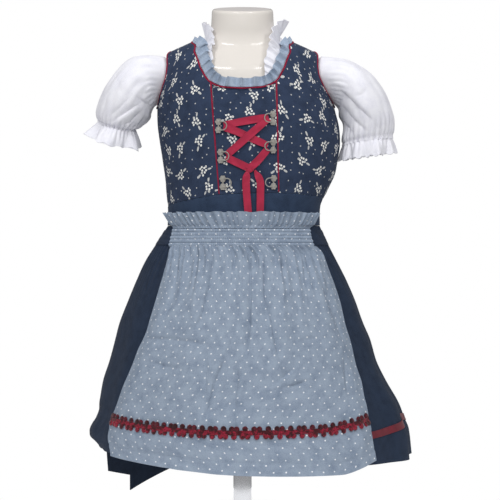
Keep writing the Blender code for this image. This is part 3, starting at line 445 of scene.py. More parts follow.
# %% Printed cotton of the bodice
# Sizes in millimetres; how far the middles stray from a grid; the share of flowers with
# a dark eye and of places left empty; how strongly leaves and dots are printed
POSY_APART, POSY_RADIUS, POSY_NARROW, POSY_STRAY = 28.0, 6.6, 1.12, 0.45
BERRY_APART, BERRY_RADIUS, BERRY_EYE, BERRY_STRAY = 3.2, 1.28, 0.5, 0.5
EYED_SHARE, EMPTY_SHARE = 0.22, 0.14
SEED_APART, SEED_RADIUS, SEED_STRAY, SEED_CLEAR, SEED_STRENGTH = 10.5, 0.72, 0.6, 3, 0.7
# Leaves: their middles, the turn that stands each upright, half length and half width
LEAVES = ((0.8, 8.8, 0.1, 2.9, 1.2), (-4.9, -6.0, 0.7, 2.5, 1.0))
LEAF_STRENGTH = 0.66


def printed_cotton():
    material, node, shader, ground, place = woven("printed_cotton", "#344058", "#232c3e")
    flat = node("VectorMath", (place, (1000, 1000, 0)), operation="MULTIPLY")
    posy, seeds = (
        node("TexVoronoi", {"Vector": flat, "Scale": 1 / apart, "Randomness": stray}, voronoi_dimensions="2D")
        for apart, stray in ((POSY_APART, POSY_STRAY), (SEED_APART, SEED_STRAY))
    )
    middle = node("VectorMath", (posy.outputs["Position"], (1, 1, 0)), operation="MULTIPLY")
    away = node("VectorMath", (flat, middle), operation="SUBTRACT")
    random = node("SeparateColor", (posy.outputs["Color"],))
    turn = node("Math", (random.outputs[0], 6.28), operation="MULTIPLY")
    local = node("VectorRotate", {"Vector": away, "Angle": turn}, rotation_type="Z_AXIS")
    reach = node("VectorMath", (local,), operation="LENGTH").outputs["Value"]
    berry = node(
        "TexVoronoi", {"Vector": local, "Scale": 1 / BERRY_APART, "Randomness": BERRY_STRAY}, voronoi_dimensions="2D"
    )
    kind = node("SeparateColor", (berry.outputs["Color"],))
    berry_middle = node("VectorMath", (berry.outputs["Position"], (POSY_NARROW, 1, 0)), operation="MULTIPLY")
    berry_reach = node("VectorMath", (berry_middle,), operation="LENGTH").outputs["Value"]
    petals = node("Math", (berry.outputs["Distance"], BERRY_RADIUS / BERRY_APART), operation="LESS_THAN")
    no_eye = node("Math", (berry.outputs["Distance"], BERRY_EYE / BERRY_APART), operation="GREATER_THAN")
    plain = node("Math", (kind.outputs[0], EYED_SHARE), operation="GREATER_THAN")
    mask = node("Math", (no_eye, plain), operation="MAXIMUM")
    there = node("Math", (kind.outputs[1], EMPTY_SHARE), operation="GREATER_THAN")
    inside = node("Math", (berry_reach, POSY_RADIUS), operation="LESS_THAN")
    for part in (petals, there, inside):
        mask = node("Math", (mask, part), operation="MULTIPLY")
    for x, y, lean, long, wide in LEAVES:
        moved = node("VectorMath", (local, (x, y, 0)), operation="SUBTRACT")
        leaned = node("VectorRotate", {"Vector": moved, "Angle": lean}, rotation_type="Z_AXIS")
        sized = node("VectorMath", (leaned, (1 / wide, 1 / long, 0)), operation="MULTIPLY")
        size = node("VectorMath", (sized,), operation="LENGTH").outputs["Value"]
        leaf = node("Math", (size, 1.0), operation="LESS_THAN")
        leaf = node("Math", (leaf, LEAF_STRENGTH), operation="MULTIPLY")
        mask = node("Math", (mask, leaf), operation="MAXIMUM")
    seed = node("Math", (seeds.outputs["Distance"], SEED_RADIUS / SEED_APART), operation="LESS_THAN")
    clear = node("Math", (reach, POSY_RADIUS + SEED_CLEAR), operation="GREATER_THAN")
    for part in (clear, SEED_STRENGTH):
        seed = node("Math", (seed, part), operation="MULTIPLY")
    mask = node("Math", (mask, seed), operation="MAXIMUM")
    colour = node("Mix", {0: mask, 6: ground, 7: linear("#e2e2de")}, data_type="RGBA")
    feed(shader, Base_Color=colour.outputs[2])
    return material


print_cotton = printed_cotton(), "floral_cloth"

# %% [markdown]
# Satin ribbon has long floating threads on its face, so its gloss is stretched across
# the ribbon. The crocheted braid is dull and rough by comparison.

# %% Satin, braid yarn, plastic and metals
SATIN_RIB = 0.8


def satin(name, colour, shade):
    material, node, shader = start_material(name, Roughness=0.34, Anisotropic=0.5)
    place = node("TexCoord").outputs["UV"]
    ribs = node("TexWave", {"Vector": place, "Scale": BANDS_PERIOD / (SATIN_RIB * MM), "Distortion": 0.3})
    # The noise mixes a darker and a lighter crimson over the ribbon: painted sheen and shade of the satin.
    tone = node("TexNoise", {"Vector": place, "Scale": 120.0, "Detail": 2.0})
    colour = node("Mix", {0: tone.outputs["Fac"], 6: linear(shade), 7: linear(colour)}, data_type="RGBA")
    bump = node("Bump", {"Strength": 0.6, "Distance": 0.05 * MM, "Height": ribs.outputs["Fac"]})
    feed(shader, Base_Color=colour.outputs[2], Normal=bump.outputs["Normal"])
    return material


ribbon_satin = satin("crimson_satin_ribbon", "#b8284a", "#8a1733"), "crimson_satin"
hem_satin = satin("dark_satin_ribbon", "#7c1f31", "#4e0f1b"), "crimson_satin"


def yarn(name, colour, shade):
    material, node, shader = start_material(name, Roughness=0.9, Sheen_Weight=0.2)
    place = node("TexCoord").outputs["Object"]
    loops = node("TexVoronoi", {"Vector": place, "Scale": 700.0}).outputs["Distance"]
    patch = node("TexNoise", {"Vector": place, "Scale": 170.0, "Detail": 2.0})
    deep = node("MapRange", {"Value": patch.outputs["Fac"], "From Min": 0.45, "From Max": 0.62, "To Max": 0.7})
    deep = node("Math", (loops, deep.outputs["Result"]), operation="ADD", use_clamp=True)
    # The yarn turns dark at the borders of the loops, which is painted shade in the grooves between them, and in soft
    # patches.
    colour = node("Mix", {0: deep, 6: linear(colour), 7: linear(shade)}, data_type="RGBA")
    bump = node("Bump", {"Strength": 0.9, "Distance": 0.4 * MM, "Height": loops}, invert=True)
    feed(shader, Base_Color=colour.outputs[2], Normal=bump.outputs["Normal"])
    return material


bright_yarn = yarn("crimson_braid_yarn", "#a81c3a", "#3c0712"), "crimson_cloth"
dark_yarn = yarn("maroon_braid_yarn", "#6a1428", "#2c060e"), "crimson_cloth"


def smooth_finish(name, colour, shade, roughness, grain, deep, **sockets):
    """A hard finish whose tone and polish change slightly over the surface."""
    material, node, shader = start_material(name, **sockets)
    place = node("TexCoord").outputs["Object"]
    cloud = node("TexNoise", {"Vector": place, "Scale": 9.0, "Detail": 3.0}).outputs["Fac"]
    fine = node("TexNoise", {"Vector": place, "Scale": grain, "Detail": 2.0}).outputs["Fac"]
    colour = node("Mix", {0: cloud, 6: linear(shade), 7: linear(colour)}, data_type="RGBA")
    polish = node("MapRange", {"Value": fine, "To Min": roughness[0], "To Max": roughness[1]})
    bump = node("Bump", {"Strength": 0.5, "Distance": deep * MM, "Height": fine})
    feed(shader, Base_Color=colour.outputs[2], Roughness=polish.outputs["Result"], Normal=bump.outputs["Normal"])
    return material


form_plastic = smooth_finish(
    "glossy_form_plastic", "#dcd7d1", "#d6d0c9", (0.16, 0.24), 60.0, 0.05, Coat_Weight=0.5, Coat_Roughness=0.08
), "form_plastic"
# The neck cap's darker grey is painted shade on the slanted top; its matt polish is real.
shaded_cap_plastic = smooth_finish("matt_neck_cap_painted_shade", "#c9c4c2", "#bab5b4", (0.45, 0.6), 300.0, 0.03), "form_plastic"
chrome = smooth_finish("polished_chrome", "#d8d9dc", "#c8c9cd", (0.06, 0.14), 40.0, 0.01, Metallic=1.0), "stand_metal"
old_silver = smooth_finish("old_silver", "#b9b6b0", "#8f8c86", (0.42, 0.58), 500.0, 0.06, Metallic=0.4), "hook_metal"

# %% [markdown]
# ## The dress form and its stand
# The form is a limbless torso, moulded in one with its neck, which is cut at a slant
# and closed with a matt cap, whose darker grey is painted shade. Rings of a closed grid
# follow the torso table.

# %% Torso
FORM_COLUMNS, FORM_BOTTOM, FORM_TOP = 96, 290, 623
# The plastic lies inside the table's sizes by the inset: by this share less over the
# shoulders, and by nothing at the end of the neck
FORM_INSET, INSET_LESS, INSET_SHOULDER, INSET_NECK, INSET_END = 3.8, 0.8, 562, 586, 602
NECK_CUT_SLOPE, NECK_CUT_FROM = 0.2126, 594
# The cap's rings: how far each is drawn in, and how far it stands off the rim
NECK_CAP = ((0.08, -1.5), (0.1, 0.2), (0.5, 0.4), (1.0, 0.4))


def form_ring(height, drawn):
    """A ring of the form, drawn in towards its middle by a share."""
    inset = FORM_INSET * (1 - INSET_LESS * fade(height, INSET_SHOULDER, INSET_NECK))
    inset = inset * (1 - fade(height, INSET_NECK, INSET_END))
    half, front, back = (max(size * (1 - drawn), 0) for size in smooth(FORM, height) - inset)
    ring = around(half, half, front, back, np.linspace(-180, 180, FORM_COLUMNS, endpoint=False), height)
    ring[:, 2] += fade(height, NECK_CUT_FROM, FORM_TOP) * ring[:, 1] * NECK_CUT_SLOPE
    return ring


foot_rings = [(FORM_BOTTOM, 1.0), (FORM_BOTTOM, 0.5), (FORM_BOTTOM, 0.12), (290.8, 0.06), (293, 0.025), (297, 0.008)]
side_rings = [(height, 0.0) for height in np.linspace(301, 618, 90)]
rim_rings = [(620, 0.004), (621.8, 0.02), (622.7, 0.045), (FORM_TOP, 0.08)]
torso_rings = np.array([form_ring(*row) for row in foot_rings + side_rings + rim_rings])
torso = grid_piece("torso_shell", torso_rings, closed=True)
settle(torso, form_plastic, ["form_torso"])
cap_rings = [form_ring(FORM_TOP, drawn) + (0, 0, lift) for drawn, lift in NECK_CAP]
neck_cap = grid_piece("neck_cap", np.array(cap_rings), closed=True)
settle(neck_cap, shaded_cap_plastic, crisp=30)

# %% [markdown]
# The stand is a plain tube on a disc. The disc's edge is rounded and a turned collar
# rises at its middle. A profile turned round the axis gives both.

# %% Pole and base
POLE_PROFILE = ((0, 25.3), (9.5, 25.3), (11, 26), (11, 288.5), (10, 289.7), (0, 289.7))
BASE_PROFILE = (
    (0, 0), (117, 0), (119, 0.6), (120, 2), (120, 6), (119, 8), (117, 9), (60, 10.2), (30, 11.2),
    (24, 13), (20, 16.5), (17, 21), (15.8, 24), (14.6, 25), (0, 25),
)


def turned(name, profile, sides):
    turns = np.linspace(0, 2 * np.pi, sides, endpoint=False)
    rings = [
        np.stack((radius * np.cos(turns), radius * np.sin(turns), height + 0 * turns), axis=1)
        for radius, height in profile
    ]
    return grid_piece(name, np.array(rings), closed=True)


settle(turned("chrome_pole", POLE_PROFILE, 48), chrome, ["stand_pole"], crisp=35)
settle(turned("chrome_base", BASE_PROFILE, 128), chrome, ["stand_base"], crisp=35)

# %% [markdown]
# ## The blouse
# Only its neck, its sleeves and its ruffles show. The body under the bodice stays as
# the frame has it, in the same white batiste.

# %% Blouse body
for node in ("blouse_front", "blouse_back"):
    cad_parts[node].data.materials.clear()
    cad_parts[node].data.materials.append(white_batiste[0])

# %% [markdown]
# The neckline is a wide square at the front and a shallow curve at the back. Stations
# run along it from the middle of the front to the middle of the back.

# %% Neckline and armholes
# Stations of the front corner, the shoulder seam and the middle of the back
NECK_CORNER, NECK_SHOULDER, NECK_BACK = 2, 7, 10
# Station, angle, height
NECKLINE = (
    (0, 0, 519.6),
    (1, 12, 521),
    (2, 23, 528.5),
    (3, 30, 544),
    (4, 36, 560),
    (5, 48, 572),
    (6, 77, 578),
    (7, 90, 579.5),
    (8, 112, 578),
    (9, 145, 572),
    (10, 180, 566),
)
ARMHOLE_MIDDLE, ARMHOLE_HALF, ARMHOLE_SKEW = 535.5, 32.5, 0.45
ARMHOLE_REACH = {"front": 24, "back": 22}
SLEEVE_HOLE = 0.83
BAND_TOP = ((-180, 390), (-90, 387), (-40, 394), (-17, 398.5), (22, 401), (60, 399.5), (90, 398), (180, 390))
BAND_BOTTOM = 363.3
FRONT_SEAMS = {"left": (-27, -37.5), "right": (43, 40.5)}
FRONT_SEAM_FOOT, FRONT_SEAM_TOP, FRONT_CORNER = 399, 529, 23
FRONT_FOOT = {"left": 398.5, "right": 401.3}


def armhole(side, share, scale=1):
    """Angle and height on the armhole's edge, from its foot to the shoulder."""
    turn = np.pi * np.asarray(share, float)
    away = ARMHOLE_REACH[side] * scale * np.sin(turn) * (1 - ARMHOLE_SKEW * np.cos(turn))
    away = np.maximum(away, 0.05)
    return (90 - away if side == "front" else 90 + away), ARMHOLE_MIDDLE - ARMHOLE_HALF * scale * np.cos(turn)


def armhole_loop(count, scale=1):
    """All round the armhole, from the shoulder down its front and up its back."""
    turns = np.arange(count) * 2 / count
    front = armhole("front", 1 - np.minimum(turns, 1), scale)
    back = armhole("back", np.maximum(turns - 1, 0), scale)
    return [np.where(turns <= 1, one, two) for one, two in zip(front, back)]


def neck_height(angle):
    return curve([(row[1], row[2]) for row in NECKLINE], np.abs(angle))


def neck_places(count):
    """Angles and heights round the neckline, from the back's middle over the left."""
    station = np.linspace(-NECK_BACK, NECK_BACK, count, endpoint=False)
    angle, height = split(NECKLINE, np.abs(station))
    return angle * np.sign(station), height


def angle_at(distance, height):
    """The angle at which the bodice is that far right of the middle."""
    half = curve(FORM, height) + smooth(EASE, height)[..., 1 if np.mean(distance) > 0 else 0] + BODICE_OUT
    return np.degrees(np.arcsin(distance / half))


def seam_angle(side, height):
    foot, top = FRONT_SEAMS[side]
    share = (height - FRONT_SEAM_FOOT) / (FRONT_SEAM_TOP - FRONT_SEAM_FOOT)
    return angle_at(foot + share * (top - foot), height)


# %% [markdown]
# A puff sleeve is wider than the armhole and the cuff that it is sewn to, and small
# gathers take up the extra cloth at both. Elastic draws in the cuff, so creases spread
# from it. Each row of a sleeve table is one section: its distance from the middle, its
# height, its tilt, its half height and depth, and its turn to the front.

# %% Puff sleeves
SLEEVES = {
    "left": (
        (110, 537, 8, 30, 38, 0),
        (122, 531, 20, 34, 42, 0),
        (133.5, 518, 42, 33, 43, 0),
        (142, 504, 58, 31, 40, -3),
        (148, 492, 70, 28, 34, -8),
        (151, 483.5, 78, 21.5, 25, -12),
    ),
    "right": (
        (116, 535, 5, 28, 38, 0),
        (127, 530, 22, 28.5, 42, 0),
        (137.5, 517, 43, 30, 44, 0),
        (147, 500, 62, 30, 43, 4),
        (151, 482, 73, 31.5, 38, 4),
        (150, 463, 82, 29, 30, 2),
    ),
}
CUFFS = {
    "left": ((151, 483, 78, 21.5, 25, -12), (153.5, 474, 76, 27, 29, -12), (156, 465, 74, 31.5, 33, -12)),
    "right": ((150, 462.6, 82, 29, 30, 2), (150, 454, 82, 31, 33, 0), (150, 446, 82, 32, 34, -2)),
}
SLEEVE_COLUMNS, SLEEVE_ROWS, CUFF_ROWS = 216, 60, 22
# Under the armhole's edge: how far the first rows stand off the body, the rows from
# there to the first section, and how often and up to which row the start is eased
SEAM_LIFTS, ENTRY_ROWS, EASING_PASSES, EASED_TO = (0.8, 3, 5.5), 10, 12, 40
ARM_GATHERS, ARM_GATHER_DEEP, CUFF_GATHERS, CUFF_GATHER_DEEP = 26, 0.35, 30, 1.3
PUFF_UNEVEN, ELASTIC_DEEP = 2.4, 1.2
# How many waves a cuff has, and how high they are
CUFF_WAVES = {"left": (6, 5.6), "right": (10, 3.2)}
# Creases of the front: points as distance right of the middle and height, then how deep
# they are and how wide on their steep and their easy side. They fan out from under the
# arm to the elastic.
SLEEVE_CREASES = {
    "left": (
        (((-158.6, 483), (-139.7, 494), (-120, 507)), 3.2, 1.4, 7),
        (((-161.6, 489), (-144.2, 502), (-133.7, 512), (-126.8, 519)), 2.4, 4, 5),
        (((-146, 480.7), (-133.7, 484), (-123.8, 493.5), (-116.3, 502)), 3.0, 1.4, 4),
        (((-130, 480), (-121.6, 485), (-115.4, 495)), 2.6, 1.4, 3.5),
        (((-107, 504.5), (-114, 507), (-126, 515)), 2.6, 1.4, 4),
        (((-140.4, 515), (-145.8, 532)), 1.8, 2, 6),
        (((-166, 492), (-160, 515), (-150, 530)), 1.2, 2, 5),
    ),
    "right": (
        (((155, 486), (134, 505), (112, 528)), 2.8, 1.4, 7),
        (((150, 472), (132, 488), (116, 508)), 2.4, 1.4, 6),
        (((134, 468), (122, 484), (114, 496)), 2.2, 1.4, 5),
        (((150, 528), (140, 517), (126, 514)), 1.6, 2, 6),
        (((172, 484), (165, 510)), 1.4, 2, 5),
        (((162, 470), (158, 486)), 1.6, 1.4, 3),
    ),
}


def section(row, sign, turn, swell):
    """A ring of points round one section of a sleeve, swollen point by point."""
    out, height, tilt, tall, deep, turned = row
    tilt, turned = np.radians(tilt), np.radians(turned)
    axis = np.array((sign * np.cos(tilt), 0, -np.sin(tilt)))
    upward = np.array((sign * np.sin(tilt), 0, np.cos(tilt)))
    forward = np.array((0, -1, 0)) * np.cos(turned) - axis * np.sin(turned)
    up, ahead = (tall + swell) * np.cos(turn), (deep + swell) * np.sin(turn)
    return np.array((sign * out, 0, height)) + up[:, None] * upward + ahead[:, None] * forward


def sections(table, count):
    """Rows blended evenly from the table's first section to its last."""
    return smooth([(k,) + row for k, row in enumerate(table)], np.linspace(0, len(table) - 1, count))


def arm_tube(side, rings):
    """Turned so that its faces look outwards on both sides."""
    return rings[:, ::-1] if side == "right" else rings


for side, sign in SIDES:
    turn = np.linspace(0, 2 * np.pi, SLEEVE_COLUMNS, endpoint=False)
    angle, height = armhole_loop(SLEEVE_COLUMNS, SLEEVE_HOLE)
    base = [off(draped, sign * angle, height, lift) for lift in SEAM_LIFTS]
    rings = [section(row, sign, turn, 0 * turn) for row in sections(SLEEVES[side], SLEEVE_ROWS)]
    entry = [base[-1] + (rings[0] - base[-1]) * part for part in np.linspace(0, 1, ENTRY_ROWS)[1:-1]]
    rings = np.array(base + entry + rings)
    first, last = len(SEAM_LIFTS), EASED_TO
    for _ in range(EASING_PASSES):
        rings[first:last] = (rings[first - 1 : last - 1] + 2 * rings[first:last] + rings[first + 1 : last + 1]) / 4
    along = np.linspace(0, 1, len(rings))[:, None]
    swell = ARM_GATHER_DEEP * np.cos(ARM_GATHERS * turn + 2 * np.sin(3 * turn)) * bump_at(along, 0.16, 0.12)
    gathers = np.cos(CUFF_GATHERS * turn + 2.5 * np.sin(2 * turn)) * fade(along, 0.72, 0.98)
    lumps = (unevenness(turn * 16 / np.pi, along * 6, 11 + sign) - 0.5) * np.sin(np.pi * along)
    swell = swell + CUFF_GATHER_DEEP * gathers + PUFF_UNEVEN * lumps
    front = fade(np.sin(turn), 0, 0.25)[None, :]
    for points, deep, steep, easy in SLEEVE_CREASES[side]:
        swell = swell + front * crease(rings[..., 0], rings[..., 2], points, deep, steep, easy)
    swell = (swell - ELASTIC_DEEP * bump_at(along, 0.965, 0.018)) * fade(along, 0.02, 0.12)
    direction = rings - rings.mean(axis=1, keepdims=True)
    direction /= np.linalg.norm(direction, axis=2, keepdims=True)
    rings = rings + direction * swell[..., None]
    cloth(f"{side}_puff_sleeve", arm_tube(side, rings), white_batiste, [f"sleeve_{side}"],
          thick=0.9, closed=True)

    count, high = CUFF_WAVES[side]
    rings = []
    for row, part in zip(sections(CUFFS[side], CUFF_ROWS), np.linspace(0, 1, CUFF_ROWS)):
        waves = high * part**0.8 * np.sin(count * turn + 1.2 * np.sin(2 * turn) + sign)
        waves = waves + 0.3 * high * part * np.sin(2 * count * turn + 2)
        waves = waves + 0.9 * np.cos(CUFF_GATHERS * turn) * (1 - part)
        rings.append(section(row, sign, turn, waves))
    rings = np.array(rings)
    drop = rings[-1] - rings[-2]
    drop /= np.linalg.norm(drop, axis=1, keepdims=True)
    rings[-1] += drop * (1.3 * np.sin(2 * count * turn))[:, None]
    cloth(f"{side}_cuff_frill", arm_tube(side, rings), white_batiste, [f"cuff_ruffle_{side}"],
          closed=True)

# %% [markdown]
# A frill is a strip sewn along one edge in small tucks, so its free edge has more cloth
# than its sewn edge and stands in waves. The white one stands up round the neck and the
# blue one lines the dress's neckline.

# %% Neck ruffle and neck frill
NECK_COUNT, FRILL_ROWS, FRILL_SWAY = 240, 12, 0.35
# Station, angle, height, how tall it is, how far it leans out, how deep its waves are
NECK_RUFFLE = (
    (0, 0, 520.4, 8, 2, 0.3),
    (1, 13, 522, 8, 2, 0.3),
    (2, 20, 526, 9, 2, 0.3),
    (3, 23.5, 533, 12, 3, 0.5),
    (4, 26, 542, 16, 6, 0.9),
    (5, 29.5, 556, 17, 12, 1.6),
    (6, 36, 568, 17, 20, 2),
    (7, 52, 580, 16, 35, 2.2),
    (8, 90, 588, 17, 55, 2.2),
    (9, 120, 588, 17, 55, 2.2),
    (10, 150, 587.5, 17, 50, 2.2),
    (11, 180, 587, 17, 50, 2.2),
)


def rim(angle, height, lift):
    """Along a closed loop: points off the body, the way across it and the way out."""
    points = off(draped, angle, height, lift)
    normals = outward(draped, angle, height)
    along = np.roll(points, -1, axis=0) - np.roll(points, 1, axis=0)
    inward = np.cross(normals, along)
    return points, inward / np.linalg.norm(inward, axis=1, keepdims=True), normals


def evenly(line, count):
    """A closed loop of rows resampled at even distances along it."""
    line = np.concatenate((line, line[:1]))
    reached = np.concatenate(((0,), np.cumsum(np.linalg.norm(np.diff(line[:, :3], axis=0), axis=1))))
    wanted = np.linspace(0, reached[-1], count, endpoint=False)
    return np.stack([np.interp(wanted, reached, column) for column in line.T], axis=1)


def frill(base, inward, normals, tall, lean, wave, waves, seed, points):
    """A gathered strip on a closed loop, as a grid from its sewn edge to its free one."""
    count = waves * points
    line = evenly(np.column_stack((base, inward, normals, tall, np.radians(lean), wave)), count)
    base, inward, normals, (tall, lean, wave) = line[:, :3], line[:, 3:6], line[:, 6:9], line[:, 9:].T
    turn = 2 * np.pi * waves * np.arange(count) / count
    lumps = unevenness(np.arange(count) / points * 0.9, 0.5, seed)
    phase = turn + 1.6 * np.sin(turn / waves * 5) + 2.4 * lumps
    pinched = np.sin(phase + 0.7 * np.sin(phase))
    across = normals * np.cos(lean)[:, None] - inward * np.sin(lean)[:, None]
    upward = inward * np.cos(lean)[:, None] + normals * np.sin(lean)[:, None]
    grid = []
    for share in np.linspace(0, 1, FRILL_ROWS):
        rise = tall * share * (1 + 0.05 * np.sin(phase * 0.5) * share)
        bend = wave * (0.25 + 0.75 * share**0.7) * (0.7 + 0.6 * lumps) * pinched
        along = FRILL_SWAY * wave * share * np.cos(phase)
        edge = base + upward * rise[:, None] + across * bend[:, None]
        grid.append(edge + np.cross(upward, across) * along[:, None])
    return np.array(grid)


station = np.linspace(-11, 11, NECK_COUNT, endpoint=False)
rows = smooth(NECK_RUFFLE, np.abs(station))
base, inward, normals = rim(rows[:, 0] * np.sign(station), rows[:, 1], 0.7)
right, left = station > 0, station < 0
# It stands taller and leans out more at the right, and is low at the left of the front
tall = rows[:, 2] + 6 * right * bump_at(station, 7, 2.2) - 9 * left * bump_at(station, -4, 1.6)
lean = rows[:, 3] + 18 * right * bump_at(station, 7.5, 2.2)
ruffle_grid = frill(base + inward * 1.6, inward, normals, tall, lean, 0.4 + rows[:, 4], waves=40, seed=5, points=14)
cloth("white_neck_ruffle", ruffle_grid, white_batiste, ["neck_ruffle"], closed=True)

angle, height = neck_places(NECK_COUNT)
base, inward, normals = rim(angle, height, 4.3)
full = np.ones(NECK_COUNT)
tall = 10.8 + 4 * bump_at(angle, -42, 16) - 7 * bump_at(np.abs(angle), 88, 28)
frill_grid = frill(base + inward * 2.6, inward, normals, tall, 14 * full, 3.7 * full, waves=34, seed=8, points=18)
cloth("blue_neck_frill", frill_grid, lit_plain_chambray, ["neck_frill"], closed=True)

# %% [markdown]
# Inside the frill a narrow strip of the blouse shows between it and the ruffle.

# %% Blouse neck
inner_angle, inner_height = rows[:, 0] * np.sign(station), rows[:, 1]
outer_angle, outer_height = neck_places(NECK_COUNT)
strip = []
for share in np.linspace(0, 1, 8):
    blend_angle = outer_angle * (1 - share) + inner_angle * share
    blend_height = (outer_height - 9) * (1 - share) + (inner_height + 1) * share
    strip.append(off(draped, blend_angle, blend_height, 1.9 - 0.6 * share))
cloth("blouse_neck", np.array(strip), white_batiste, closed=True)

# %% [markdown]
# ## The bodice
# Five printed panels meet at the side seams, the shoulder seams, the middle of the back
# and the two piped front seams. Each is a grid between its inner and its outer edge, so
# the print runs straight up every panel as it would be cut.

# %% Panels
SEAM_GAP, PIPING_SIDE, SEAM_TURN = 0.15, 0.7, 0.1
# The body is taken as this round where a distance beside a seam becomes an angle
SEAM_RADIUS, BACK_FOOT = 95, 390.15
PANEL_COLUMNS, LOW_ROWS, HIGH_ROWS, CENTRE_ROWS = 48, 44, 40, 60


def edge_rows(low, high):
    """A panel's edge: its straight part, then its shaped part."""
    parts = zip(low(np.linspace(0, 1, LOW_ROWS)), high(np.linspace(0, 1, HIGH_ROWS)))
    return [np.concatenate((one[:-1], two)) for one, two in parts]


def spread(inner, outer, share):
    """Angles and heights across a panel, from one edge to the other."""
    return [one[:, None] * (1 - share) + two[:, None] * share for one, two in zip(inner, outer)]


def panel_grid(inner, outer, sign):
    """Places across a panel, with a few shallow wrinkles over the waist."""
    angle, height = spread(inner, outer, np.linspace(0, 1, PANEL_COLUMNS)[None, :])
    foot = curve(BAND_TOP, wrapped(angle)) + SEAM_GAP
    rise = np.linspace(0, 1, len(height))[:, None]
    height = height + (foot - height[:1]) * (1 - rise) ** 6
    lift = BODICE_OUT + 0.7 * (unevenness(angle / 14, height / 26, 21) - 0.5)
    lift = lift - 0.5 * bump_at(height, foot + 1, 3) + 0.35 * np.sin(angle * 0.9) * fade(height, 425, 400)
    grid = off(draped, angle, height, lift)
    return grid if sign > 0 else grid[:, ::-1]


corner = float(neck_height(FRONT_CORNER))
for side, sign in SIDES:
    def seam_part(share):
        height = FRONT_FOOT[side] + (corner + 0.8 - FRONT_FOOT[side]) * share
        return seam_angle(side, height) + sign * np.degrees(PIPING_SIDE / SEAM_RADIUS), height

    def neck_part(share):
        angle, height = split(NECKLINE, NECK_CORNER + (NECK_SHOULDER - NECK_CORNER) * share)
        start = seam_part(np.array(1.0))
        early = 1 - fade(share, 0, 0.2)
        angle = np.minimum(angle, 90 - SEAM_TURN) * sign
        _, corner_angle, corner_height = NECKLINE[NECK_CORNER]
        return angle + (start[0] - sign * corner_angle) * early, height + (start[1] - corner_height) * early

    def side_part(part):
        def low(share):
            foot = float(curve(BAND_TOP, sign * 90.0)) + SEAM_GAP
            top = ARMHOLE_MIDDLE - ARMHOLE_HALF
            edge = 90 - SEAM_TURN if part == "front" else 90 + SEAM_TURN
            return sign * edge + 0 * share, foot + (top - foot) * share

        def high(share):
            angle, height = armhole(part, share)
            return sign * angle, height

        return low, high

    inner = edge_rows(seam_part, neck_part)
    outer = edge_rows(*side_part("front"))
    cloth(f"{side}_front_panel", panel_grid(inner, outer, sign), print_cotton,
          [f"bodice_front_{side}"], thick=1.4, even=False)

    def middle_part(share):
        return sign * (180 - SEAM_TURN) + 0 * share, BACK_FOOT + (NECKLINE[-1][2] - BACK_FOOT) * share

    def back_neck_part(share):
        angle, height = split(NECKLINE, NECK_BACK - (NECK_BACK - NECK_SHOULDER) * share)
        return sign * np.clip(angle, 90 + SEAM_TURN, 180 - SEAM_TURN), height

    inner = edge_rows(middle_part, back_neck_part)
    outer = edge_rows(*side_part("back"))
    cloth(f"{side}_back_panel", panel_grid(inner, outer, -sign), print_cotton,
          [f"bodice_back_{side}"], thick=1.4, even=False)

share = np.linspace(0, 1, CENTRE_ROWS)
edges = []
for side, sign in (("left", 1), ("right", -1)):
    height = FRONT_FOOT[side] + (corner - 1 - FRONT_FOOT[side]) * share
    edges.append((seam_angle(side, height) + sign * np.degrees(0.3 * PIPING_SIDE / SEAM_RADIUS), height))
angle, height = spread(*edges, np.linspace(0, 1, PANEL_COLUMNS)[None, :])
height = height + (neck_height(angle) - 0.6 - height) * fade(share, 0.3, 1)[:, None]
height = height + (curve(BAND_TOP, angle) + SEAM_GAP - height[:1]) * (1 - share[:, None]) ** 6
lift = BODICE_OUT + 0.6 * (unevenness(angle / 9, height / 22, 33) - 0.5)
cloth("centre_front_panel", off(draped, angle, height, lift), print_cotton, ["bodice_front_centre"],
      thick=1.4, even=False)

# %% [markdown]
# The waistband is a plain navy strip, cut level at its foot. Its upper edge is a little
# higher at the right of the front than at the sides.

# %% Waistband
BAND_COLUMNS, BAND_ROWS = 288, 22
angle = np.linspace(-180, 180, BAND_COLUMNS, endpoint=False)[None, :]
share = np.linspace(0, 1, BAND_ROWS)[:, None]
height = BAND_BOTTOM + (curve(BAND_TOP, angle) - BAND_BOTTOM) * share
lift = BODICE_OUT - 0.1 + 0.5 * (unevenness(angle / 16, height / 7, 9) - 0.5) - 0.5 * fade(share, 0.93, 1)
cloth("waist_band", off(draped, angle, height, lift), lit_band_cotton, ["waistband"], thick=1.4, closed=True)

# %% [markdown]
# Piping is a thin cord wrapped in a bias strip of crimson cotton and caught in the
# seam. It edges the neckline, both armholes and the two front seams.

# %% Piping
PIPING_RADIUS, PIPING_LIFT, PIPING_SHIFT = 1.0, 4.3, 0.9
NECK_POINTS, ARMHOLE_POINTS, SEAM_POINTS = 260, 120, 90


def piping(name, angle, height, node, closed=True):
    """A cord in a seam. A closed one is shifted inwards, onto the edge of the cloth."""
    points, inward, normals = rim(angle, height, PIPING_LIFT)
    if closed:
        middle = points.mean(axis=0)
        inward = inward * np.sign((inward * (middle - points)).sum(axis=1, keepdims=True))
        points = points + inward * PIPING_SHIFT
    piece = tube(name, points, PIPING_RADIUS, closed, normals)
    return settle(piece, crimson_cotton, [node])


angle, height = neck_places(NECK_POINTS)
piping("neck_piping", angle, height, "piping_neck")
for side, sign in SIDES:
    angle, height = armhole_loop(ARMHOLE_POINTS)
    piping(f"{side}_armhole_piping", sign * angle, height, f"piping_armhole_{side}")
    height = np.linspace(FRONT_FOOT[side] + 0.6, corner + 0.4, SEAM_POINTS)
    piping(f"{side}_front_piping", seam_angle(side, height), height, f"piping_front_{side}", False)

# %% [markdown]
# ## The skirt
# It hangs in soft folds from the waist, gathered all round. Low on the left a fold of
# the cloth has turned up over itself, which a table gives as a path for the cloth.

